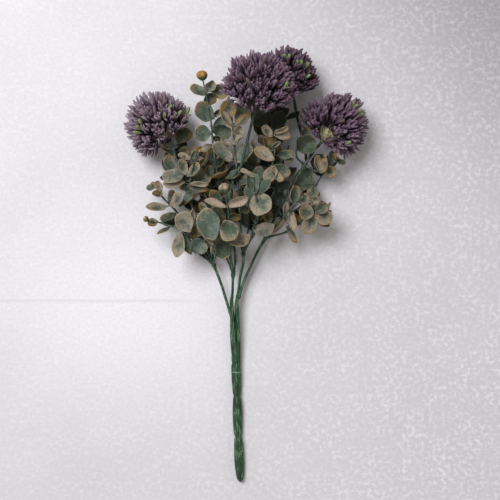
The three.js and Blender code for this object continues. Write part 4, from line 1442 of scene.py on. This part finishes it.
class Head:
    """A head's clusters and florets."""

    def __init__(self, name, index, look):
        head = HEADS[name]
        self.name = name
        self.centre, self.crown = vec(head["centre"]), unit(vec(head["crown"]))
        self.radius = head["radius"]
        self.cover = math.radians(head["cover"] + COVER_MORE[name])
        self.origin = self.centre - self.crown * self.radius * FAN_BACK
        self.turn = np.array(Vector((0, 0, 1)).rotation_difference(Vector(self.crown)).to_matrix())
        self.draw = Draw(HEAD_SEED + index)
        self.clusters = [self.direction(place, CLUSTER_JITTER) for place in spread_directions(look.clusters)]
        self.reaches = [1 + self.draw.spread(REACH_SPREAD) for _ in self.clusters]
        self.florets = []
        for layer, (one_in, low, high) in enumerate(LAYERS):
            for place in spread_directions(look.places // one_in):
                self.grow(place, layer, low + (high - low) * self.draw.next())
        self.hang_florets()
        self.mark_odd_florets()

    def direction(self, place, jitter):
        return self.turn @ unit(place + [self.draw.spread(jitter) for _ in range(3)])

    def grow(self, place, layer, reach):
        """A floret at a place, unless it is missing there, inside the next head or over the calyx."""
        direction = self.direction(place, FLORET_JITTER)
        cluster = int(np.argmax(np.array(self.clusters) @ direction))
        direction = unit(direction * (1 - GATHER) + self.clusters[cluster] * GATHER)
        further = 1 + CROWN_MORE[self.name] * max(0, direction @ self.crown)
        reach *= self.reaches[cluster] * self.radius * further
        missing = self.draw.next() < MISSING[self.name]
        past_edge = angle_between(direction, self.crown) - self.cover
        if past_edge > 0 or (missing and past_edge > -math.radians(SPARSE_EDGE)):
            return
        tip = self.tip_at(direction, reach)
        if not self.in_next_head(tip) and not self.over_calyx(cluster, tip):
            self.florets.append(Floret(tip, cluster, layer, self.draw))

    def tip_at(self, direction, reach):
        """The tip of a floret, drawn in where it would go under the table or where the head is flatter."""
        lowest = TABLE_ROOM + FLORET_ROOM
        while (self.centre + direction * reach)[2] < lowest and reach > self.radius * LEAST_REACH:
            reach -= REACH_STEP
        tip = self.centre + direction * reach
        above, below = FLATTER.get(self.name, (1, 1))
        away = tip[1] - self.centre[1]
        tip[1] = self.centre[1] + away * (above if away > 0 else below)
        return tip

    def in_next_head(self, tip):
        front = HEADS["front"]
        apart = np.linalg.norm(tip - vec(front["centre"]))
        return self.name == "rear" and apart < front["radius"] * NEXT_HEAD

    def over_calyx(self, cluster, tip):
        if self.name not in CALYX_VIEW:
            return False
        x, y, radius = CALYX_VIEW[self.name]
        body = np.linspace(self.node(cluster), tip, CALYX_VIEW_POINTS)
        apart = np.linalg.norm(body[:, :2] - (x, y), axis=1)
        return np.any((apart < radius) & (body[:, 2] > self.centre[2]))

    def hang_florets(self):
        """The few long ones that droop past a head's lower edge."""
        for x, y in HANGING.get(self.name, ()):
            away = vec((x, y, HANGING_HEIGHT + self.draw.spread(HANGING_SPREAD)))
            floret = Floret(self.centre + away, 0, 1, self.draw)
            floret.base = self.centre + away * HANGING_FROM + floret.jitter
            floret.size = HANGING_SIZE
            self.florets.append(floret)

    def mark_odd_florets(self):
        """The nearest plain floret of the outer layer, for each odd one that the photo shows."""
        outer = [floret for floret in self.florets if floret.layer == 0]
        for kind, places in ODD_FLORETS[self.name].items():
            for x, y in places:
                away = vec((x, y, math.sqrt(max(0, self.radius**2 - x * x - y * y))))
                plain = [floret for floret in outer if floret.kind == PLAIN]
                nearest = min(plain, key=lambda floret: np.linalg.norm(floret.tip - self.centre - away))
                nearest.kind = kind
                nearest.size = WHITISH_SIZE if kind == WHITISH else ODD_SIZE + ODD_SIZE_MORE * nearest.tint
                nearest.tip = self.centre + away * (WHITISH_REACH if kind == WHITISH else ODD_REACH)

    def node(self, cluster):
        """Where a cluster's twig forks."""
        tip = self.centre + self.clusters[cluster] * self.radius
        return self.origin + (tip - self.origin) * TWIG_END

    def copy_of(self, template, points, values):
        mesh = template.copy()
        for key, value in values.items():
            set_value(mesh, key, value)
        set_points(mesh, points * MM)
        return linked(self.name, mesh)

    def floret_parts(self, width, material):
        slim, fat = (
            grooved(turned(profile, FLORET_SIDES, material), FLORET_SIDES)
            for profile in (FLORET_PROFILE, FAT_PROFILE)
        )
        parts = []
        for floret in self.florets:
            template = fat if floret.kind in (GREEN, TAUPE) else slim
            hangs = floret.base is not None
            base = floret.base if hangs else self.node(floret.cluster) + floret.jitter
            points = stretched(template, base, floret.tip, width / 2 * floret.size, floret.bend)
            # Painted shade: a lower along lets the shade colour climb further up inner florets and those of
            # darker heads.
            light = HEAD_LIGHT[self.name] * (1 if hangs or floret.layer == 0 else INNER_LIGHT)
            parts.append(self.copy_of(template, points, {
                "along": points_of(template)[:, 2] * light,
                "tint": floret.tint, "frost": HEAD_FROST_AND_LIGHT[self.name], "odd": floret.kind,
            }))
        return parts

    def twig_parts(self, material):
        twig = turned(TWIG_PROFILE, TWIG_SIDES, material)
        parts = []
        for cluster in sorted({floret.cluster for floret in self.florets if floret.base is None}):
            points = stretched(twig, self.origin, self.node(cluster), TWIG_RADIUS, TWIG_BEND)
            parts.append(self.copy_of(twig, points, {"along": TWIG_LIGHT, **DULL}))
        return parts

    def heart_part(self, material):
        """A ball deep in the head, painted dark as shade."""
        heart = turned(HEART_PROFILE, HEART_SIDES, material)
        middle = self.centre + self.crown * self.radius * HEART_FURTHER[self.name]
        points = points_of(heart) * self.radius * HEART[self.name] @ self.turn.T + middle
        return self.copy_of(heart, points, {"along": HEART_LIGHT, **DULL})

    def parts(self, look, material):
        florets = self.floret_parts(look.width / MM, material)
        return [*florets, *self.twig_parts(material), self.heart_part(material)]


class SPRAY_OT_heads(bpy.types.Operator):
    """Make the pompon heads"""

    bl_idname = "spray.heads"
    bl_label = "Heads"

    def execute(self, context):
        look = context.scene.spray.heads
        material = floret_material(look)
        for index, name in enumerate(HEADS):
            whole = joined(f"pompon_{name}", Head(name, index, look).parts(look, material))
            finished(whole, f"head_{name}")
        return {"FINISHED"}


CALYX_GROWTH = {"left": 0.75, "right": 1.05, "front": 0.7, "rear": 0.8}
CALYX_PROFILE = [
    (-5, 1.6), (-3.6, 2.6), (-2, 4.4), (0.5, 6.3), (3.5, 7.6), (6.5, 7.6), (8.5, 5.4), (9.2, 0),
]
CALYX_LOBES = 7
CALYX_RELIEF = 0.12
LOBE_TWIST = 0.5  # for each millimetre up
CALYX_FURTHER = 5  # from the stalk's end


def make_calyx(name, material):
    """The lobed foot of a head."""
    mesh = turned(CALYX_PROFILE, 4 * CALYX_LOBES, material)
    crown = unit(vec(HEADS[name]["crown"]))
    points = points_of(mesh) * CALYX_GROWTH[name]
    around = np.arctan2(points[:, 1], points[:, 0])
    lobes = np.sin(CALYX_LOBES * around + points[:, 2] * LOBE_TWIST)
    points[:, :2] *= (1 + CALYX_RELIEF * lobes)[:, None]
    points = points @ basis(np.cross(crown, CALYX_ACROSS), crown).T
    set_points(mesh, (points + head_seat(HEADS[name]) + crown * CALYX_FURTHER) * MM)
    return linked(name, mesh)


class SPRAY_OT_calyces(bpy.types.Operator):
    """Make the green foot of each head, where its florets spring from"""

    bl_idname = "spray.calyces"
    bl_label = "Calyces"

    def execute(self, context):
        material = calyx_material(context.scene.spray)
        for name in HEADS:
            finished(joined(f"calyx_{name}", [make_calyx(name, material)]), None)
        return {"FINISHED"}


# ------------------------------------------------------------------ the sprigs
LEAF_SIDES = 12
FACING_SIDES = 20
LEAF_INSETS = (0.07, 0.19)  # of a leaf's length, from its rim inwards
LEAF_FOOT = 0.2  # the part of a leaf that narrows to its foot
FOOT_CURVE = 1.5
FOOT_LONGER = 0.05
FOOT_NARROWER = 0.5
LOW_WIDTH, WIDTH_MORE = 0.86, 0.2  # a leaf's width at its root, and how much more it is at its tip
THICK_LEAF = 0.6
FACING_GROWTH = 1.04

# How a leaf is bent: into a cup, curled up or down to its tip, wavy and ragged at its rim, and folded along
# its rib, each as a share of its size; and how much of its tone it has.
LEAST_CUP, CUP_MORE = 0.32, 0.4
CURL_SPREAD = 0.24
LEAST_WAVE, WAVE_MORE = 0.02, 0.08
RAGGED = 0.035
MOST_FOLD = 0.45
FOLD_SOFTNESS = 0.02
FOLD_LEVEL = 0.14
LEAST_TONE, TONE_MORE = 0.8, 0.4
TONE_HEIGHT_SPREAD = 3


def leaf_template(material, sides):
    """A flat leaf, 1 long and 1 wide, with a pointed foot at the origin. Its tip is at (1, 0)."""
    deselect_all()
    bpy.ops.mesh.primitive_circle_add(vertices=sides, radius=0.5, fill_type="NGON", location=(0.5, 0, 0))
    obj = bpy.context.object
    bpy.ops.object.transform_apply(location=True, rotation=True, scale=True)
    edit(obj)
    bpy.ops.mesh.select_all(action="SELECT")
    for ring in LEAF_INSETS:
        bpy.ops.mesh.inset(thickness=ring)
    bpy.ops.mesh.poke()
    leave_edit()
    thicken = obj.modifiers.new("thickness", "SOLIDIFY")
    thicken.thickness = 1
    thicken.offset = -1
    bpy.ops.object.modifier_apply(modifier=thicken.name)
    mesh = obj.data
    points = points_of(mesh)
    uv = mesh.uv_layers.get("UVMap") or mesh.uv_layers.new(name="UVMap")
    for loop in mesh.loops:
        x, y, _ = points[loop.vertex_index]
        uv.data[loop.index].uv = (x, y + 0.5)
    set_value(mesh, "under", (points[:, 2] < -0.5).astype(float))
    foot = np.clip(1 - points[:, 0] / LEAF_FOOT, 0, 1) ** FOOT_CURVE
    points[:, 0] -= foot * FOOT_LONGER
    points[:, 1] *= (1 - foot * FOOT_NARROWER) * (LOW_WIDTH + WIDTH_MORE * points[:, 0])
    set_points(mesh, points)
    mesh.materials.append(material)
    return take_mesh(obj)


def tone_of(leaf, draw):
    """A leaf's tone: its own, or one drawn from those of its height."""
    if leaf.tone:
        return TONES[leaf.tone]
    height = leaf.centre[2] + draw.spread(TONE_HEIGHT_SPREAD)
    tones = LOW_TONES if height < LOW_UNDER else HIGH_TONES if height > HIGH_OVER else MIDDLE_TONES
    return TONES[tones[int(draw.next() * len(tones)) % len(tones)]]


def leaf_copy(template, leaf, draw, grow):
    """One leaf: the template bent into a cup with a wavy rim, at its place on the sprig."""
    mesh = template.copy()
    points = points_of(template)
    x, y, z = points.T
    length, width = leaf.length * grow, leaf.width * grow
    cup, curl = LEAST_CUP + CUP_MORE * draw.next(), draw.spread(CURL_SPREAD)
    wave, phase = LEAST_WAVE + WAVE_MORE * draw.next(), draw.next() * 2 * math.pi
    fold = MOST_FOLD * draw.next() ** 2
    square = (2 * x - 1) ** 2 + (2 * y) ** 2
    around = np.arctan2(2 * y, 2 * x - 1)
    ragged = 1 + square * RAGGED * (np.sin(2 * around + phase) + np.sin(5 * around + 3 * phase))
    x, y = 0.5 + (x - 0.5) * ragged, y * ragged
    lift = cup * 0.5 * (square - 1) + curl * x * x + wave * square * np.sin(3 * around + phase)
    lift += fold * (np.sqrt(4 * y * y + FOLD_SOFTNESS) - FOLD_LEVEL) * x
    local = np.stack([x * length, y * width, lift * min(length, width) + z * THICK_LEAF], axis=1)
    there = local @ basis(leaf.along, leaf.up).T + leaf.root
    there[:, 2] = np.maximum(there[:, 2], TABLE_ROOM)
    set_points(mesh, there * MM)
    for key, value in zip(("tint", "rim", "frost", "painted_shade"), tone_of(leaf, draw)):
        set_value(mesh, key, max(0, value * (LEAST_TONE + TONE_MORE * draw.next())))
    return linked("leaf", mesh)


PETIOLE_RADII = np.array([0.6, 0.55, 0.5, 0.5, 0.4])
PETIOLE_SAG = 0.12 * np.array([0, 0.7, 1, 0.7, 0])  # of its length
PETIOLE_END = 0.6  # past the leaf's root


def petiole(leaf, stem, material):
    """A leaf's own short stalk, from the stem to its foot."""
    points = np.linspace(stem, leaf.root + leaf.along * PETIOLE_END, len(PETIOLE_RADII))
    points[:, 2] -= PETIOLE_SAG * np.linalg.norm(leaf.root - stem)
    return tube(points, PETIOLE_RADII, material, 1)


STEM_FURTHER = 0.1  # past a sprig's last point
SOCKET_LENGTH = 6
SOCKET_MORE = 0.35
KNOT_MORE = 0.3  # thicker at each pair of leaves
KNOT_LENGTH = 1.6
TAPER = 0.3


def sprig_stem(sprig, material):
    """A sprig's stem, thicker in its socket and at each pair of leaves."""
    route = sprig_route(sprig)
    start = fork_place(sprig["fork"])
    end = route.at(1) + route.way(1) * (BUD_FURTHER.get(sprig["name"], 0) + STEM_FURTHER)
    middle = start + (route.at(0) - start) * 0.5
    points = np.vstack([start, middle, route.samples_every(2.2, least=14), end])
    run = np.concatenate([[0], np.cumsum(np.linalg.norm(np.diff(points, axis=0), axis=1))])
    radii = SPRIG_RADIUS - TAPER * run / run[-1] + SOCKET_MORE * np.exp(-((run / SOCKET_LENGTH) ** 4))
    for pair in range(sprig["pairs"]):
        at = sprig["low"] + (TOP_PAIR - sprig["low"]) * pair / (sprig["pairs"] - 1)
        far = np.linalg.norm(points - route.at(at), axis=1)
        radii += KNOT_MORE * np.exp(-((far / KNOT_LENGTH) ** 2))
    return tube(points, radii, material)


BUD_FOLDS = 4
FOLD_RELIEF = 0.12
LEAST_BUD = 1.3
BUD_FURTHER = {"crown_left": 2.5}
BUD_GROWTH = {"front_bud": 1.5, "crown_left": 1.08}
BUD_RIPE = {"front_bud": 0.15, "crown_left": 1}
RIPE = 0.6  # the other buds
BUD_PROFILE = [
    (-1.0, 0.3), (-0.75, 0.62), (-0.35, 0.92), (0.1, 1.0), (0.5, 0.86), (0.8, 0.5), (0.86, 0.2), (0.8, 0),
]


def make_bud(sprig, material):
    """A round bud with a few folds and a sunken top."""
    route = sprig_route(sprig)
    mesh = turned(BUD_PROFILE, 4 * BUD_FOLDS, material)
    points = points_of(mesh)
    set_value(mesh, "along", (points[:, 2] + 1) / 2)
    way = route.way(1)
    fold = np.cos(BUD_FOLDS * np.arctan2(points[:, 1], points[:, 0]))
    points[:, :2] *= (1 + FOLD_RELIEF * fold)[:, None]
    set_value(mesh, "fold", 0.5 - 0.5 * fold)
    set_value(mesh, "ripe", BUD_RIPE.get(sprig["name"], RIPE))
    size = max(sprig["bud"], LEAST_BUD) * BUD_GROWTH.get(sprig["name"], 1)
    place = bud_place(sprig, route) + way * BUD_FURTHER.get(sprig["name"], 0)
    points = points * size @ basis(np.cross(way, BUD_ACROSS), way).T
    set_points(mesh, (points + place) * MM)
    return linked("bud", mesh)


class SPRAY_OT_sprigs(bpy.types.Operator):
    """Make the leafy sprigs with their buds"""

    bl_idname = "spray.sprigs"
    bl_label = "Sprigs"

    def execute(self, context):
        look = context.scene.spray
        stems = look.stems
        leaf_skin, bud_skin = leaf_material(look.leaves), bud_material(look.leaves)
        stem_skin = stem_material(
            stems, "sprig_green", stems.sprig, stems.sprig, stems.streak_highlight, roughness=0.45
        )
        template, fine = (leaf_template(leaf_skin, sides) for sides in (LEAF_SIDES, FACING_SIDES))
        facing = facing_leaves()
        found = all_leaves(Room([leaf for leaves in facing for leaf, _ in leaves]))
        for index, (sprig, leaves) in enumerate(zip(SPRIGS, found)):
            draw = Draw(LEAF_SHAPE_SEED + index)
            parts = [sprig_stem(sprig, stem_skin)]
            parts += [leaf_copy(template, leaf, draw, look.leaves.grow) for leaf in leaves]
            for leaf, stem in facing[index]:
                parts.append(leaf_copy(fine, leaf, draw, FACING_GROWTH))
                parts.append(petiole(leaf, stem, stem_skin))
            if sprig["bud"]:
                parts.append(make_bud(sprig, bud_skin))
            finished(joined(f"leafy_{sprig['name']}", parts), f"sprig_{sprig['name']}")
        return {"FINISHED"}


# ------------------------------------------------------------------ the stalks and the bound stem
SLEEVE_MORE = 0.8
SLEEVE_HALF = 3


def make_stalk(name, material):
    """A stalk with a thicker sleeve at each of its forks."""
    route = stalk_route(STALKS[name])
    points = route.samples_every(2, least=24)
    radii = np.full(len(points), STALK_RADIUS)
    for fork, (of, _) in FORKS.items():
        if of == name:
            far = np.linalg.norm(points - fork_place(fork), axis=1)
            radii += SLEEVE_MORE * np.exp(-((far / SLEEVE_HALF) ** 4))
    return tube(points, radii, material, 3)


class SPRAY_OT_stalks(bpy.types.Operator):
    """Make the stalks, the rear one with painted shade on its upper part"""

    bl_idname = "spray.stalks"
    bl_label = "Stalks"

    def execute(self, context):
        look = context.scene.spray.stems
        skin = stem_material(look, "stalk_green", look.stalk, look.upper, look.streak_highlight, roughness=0.32)
        # Painted shade: the rear stalk turns dark green towards its head.
        shaded = stem_material(look, "stalk_painted_shade", look.stalk, look.dark, look.bound, roughness=0.5)
        for name in STALKS:
            stalk = make_stalk(name, shaded if name == "rear" else skin)
            finished(joined(f"green_stalk_{name}", [stalk]), f"stalk_{name}")
        return {"FINISHED"}


CORD_MORE = 0.3  # on the solid's radius
CORD_POINTS = 140
CORD_LUMPS = 0.05
LUMP_RUN = 5  # points that each lump is spread over
CORD_START = np.array([0.7, 0.82, 0.9, 0.95, 0.98, 1])  # of its radius, at its blunt end
START_APART, APART_RISE = 0.2, 12  # how the cords part from the blunt end on
TIP_FURTHER = 1.4
TIP_RADIUS = CORD_RADIUS * 0.35
NOTCHES = (-80.5, -108.4, -143)  # where the twisted stem is nipped
NOTCH_DEPTH = 0.18
NOTCH_HALF = 1.5
THICK_STRAND = 2.1
STRAND_POINTS = 40
STRAND_TUCK = 0.4  # of its offset, where it starts between the cords
STRAND_TAPER = 0.8
STRAND_OVERLAP = 2  # into its stalk


def cord_points(side, count):
    axis = Route(BOUND_ROUTE)
    points = []
    for i in range(count):
        t = i / (count - 1)
        point = axis.at(t)
        angle = ((point[1] - CROSSING_Y) / HALF_TWIST + 0.5) * math.pi
        apart = CORD_OFFSET * min(1, START_APART + t * APART_RISE)
        points.append(point + side * apart * np.array([math.cos(angle), 0, math.sin(angle)]))
    return np.array(points)


def make_cord(side, material):
    """One of the two twisted cords, a little uneven and nipped in places."""
    points = cord_points(side, CORD_POINTS)
    draw = Draw(CORD_SEED + side)
    lumps = np.array([draw.spread(CORD_LUMPS) for _ in range(CORD_POINTS)])
    smooth = np.convolve(lumps, np.ones(LUMP_RUN) / LUMP_RUN, "same")
    radii = (CORD_RADIUS + CORD_MORE) * (1 + smooth)
    for notch in NOTCHES:
        radii *= 1 - NOTCH_DEPTH * np.exp(-(((points[:, 1] - notch) / NOTCH_HALF) ** 2))
    radii[:len(CORD_START)] *= CORD_START
    tip = points[0] + unit(points[0] - points[3]) * TIP_FURTHER
    return tube(np.vstack([tip, points]), np.concatenate([[TIP_RADIUS], radii]), material, 3)


def make_strand(stalk, material):
    """The end of a stalk, laid over the cords and thinner towards the stalk."""
    first, second = (vec(p) for p in stalk["route"][:2])
    way = unit(second - first)
    across, up = stalk["strand"]
    offset = vec((across, 0, up))
    start = vec(BOUND_ROUTE[2]) + offset * STRAND_TUCK + vec((0, STRAND_START, 0))
    end = vec(BOUND_ROUTE[-1]) + offset
    route = Route([start, end, first - way * STRAND_LENGTH, first, first + way * STRAND_OVERLAP])
    thinner = np.linspace(0, 1, STRAND_POINTS) ** STRAND_TAPER
    radii = THICK_STRAND - (THICK_STRAND - STALK_RADIUS) * thinner
    return tube(route.samples(STRAND_POINTS), radii, material, 2)


class SPRAY_OT_bound_stem(bpy.types.Operator):
    """Make the stem that all the stalks are twisted into"""

    bl_idname = "spray.bound_stem"
    bl_label = "Bound stem"

    def execute(self, context):
        look = context.scene.spray.stems
        skin = stem_material(look, "bound_green", look.bound, look.bound, look.worn, roughness=0.34)
        parts = [make_cord(side, skin) for side in (-1, 1)]
        parts += [make_strand(stalk, skin) for stalk in STALKS.values()]
        finished(joined("twisted_stem", parts), "bound_stem")
        return {"FINISHED"}


# ------------------------------------------------------------------ the stage
# Sizes and places in metres.
TABLE_SIZE = 4
TABLE_PARTS = 8
FARTHEST_SEEN = 20
WINDOW_PLACE = (-0.5, 0.54, 1.4)
WINDOW_AIM = (0, 0.05, 0)
WINDOW_SIZE = 0.8
WINDOW_ENERGY = 21.8
WINDOW_COLOUR = (0.975, 0.985, 1.0)
SKY_COLOUR = (1.0, 0.945, 0.88, 1)
SKY_STRENGTH = 0.43


def add_table(look):
    deselect_all()
    bpy.ops.mesh.primitive_grid_add(
        x_subdivisions=TABLE_PARTS, y_subdivisions=TABLE_PARTS, size=TABLE_SIZE, location=(0, 0, 0)
    )
    table = bpy.context.object
    table.name = "table"
    table.data.materials.append(table_material(look))


def add_window():
    """A large soft light from the far left."""
    bpy.ops.object.light_add(type="AREA", location=WINDOW_PLACE)
    window = bpy.context.object
    window.name = "window_light"
    window.data.shape = "DISK"
    window.data.size = WINDOW_SIZE
    window.data.energy = WINDOW_ENERGY
    window.data.color = WINDOW_COLOUR
    aim = Vector(WINDOW_AIM) - window.location
    window.rotation_euler = aim.to_track_quat("-Z", "Y").to_euler()


def add_room(scene):
    """The soft light of the room on all sides."""
    world = bpy.data.worlds.new("soft_room")
    world.use_nodes = True
    sky = world.node_tree.nodes["Background"]
    sky.inputs["Color"].default_value = SKY_COLOUR
    sky.inputs["Strength"].default_value = SKY_STRENGTH
    scene.world = world


def add_camera(scene, look):
    """The camera, straight above."""
    bpy.ops.object.camera_add(location=vec(CAMERA) * MM, rotation=(0, 0, 0))
    camera = bpy.context.object
    camera.name = "camera"
    camera.data.sensor_fit = "HORIZONTAL"
    camera.data.angle = 2 * math.atan(look.view / 2 / (CAMERA[2] * MM))
    camera.data.clip_end = FARTHEST_SEEN
    scene.camera = camera


class SPRAY_OT_stage(bpy.types.Operator):
    """Make the table, the light and the camera"""

    bl_idname = "spray.stage"
    bl_label = "Stage"

    def execute(self, context):
        look = context.scene.spray.stage
        add_table(look)
        add_window()
        add_room(context.scene)
        add_camera(context.scene, look)
        context.scene.view_settings.view_transform = "Standard"
        return {"FINISHED"}


class SPRAY_PT_panel(bpy.types.Panel):
    """Lists the sizes and colours of the spray, and what makes each piece"""

    bl_idname = "SPRAY_PT_panel"
    bl_label = "Allium spray"
    bl_space_type = "VIEW_3D"
    bl_region_type = "UI"
    bl_category = "Spray"

    def draw(self, context):
        look = context.scene.spray
        for group in (look.heads, look.leaves, look.stems, look.stage):
            box = self.layout.box()
            for name in group.__annotations__:
                box.prop(group, name)
        for operator in OPERATORS:
            self.layout.operator(operator.bl_idname)


OPERATORS = (
    SPRAY_OT_stage,
    SPRAY_OT_bound_stem,
    SPRAY_OT_stalks,
    SPRAY_OT_sprigs,
    SPRAY_OT_calyces,
    SPRAY_OT_heads,
)
CLASSES = (HeadLook, LeafLook, StemLook, StageLook, SprayLook, *OPERATORS, SPRAY_PT_panel)


def register():
    for item in CLASSES:
        bpy.utils.register_class(item)
    bpy.types.Scene.spray = PointerProperty(type=SprayLook)


def unregister():
    del bpy.types.Scene.spray
    for item in reversed(CLASSES):
        bpy.utils.unregister_class(item)


def main():
    """Make everything."""
    register()
    bpy.ops.spray.stage()
    bpy.ops.spray.bound_stem()
    bpy.ops.spray.stalks()
    bpy.ops.spray.sprigs()
    bpy.ops.spray.calyces()
    bpy.ops.spray.heads()


if __name__ == "__main__":
    main()
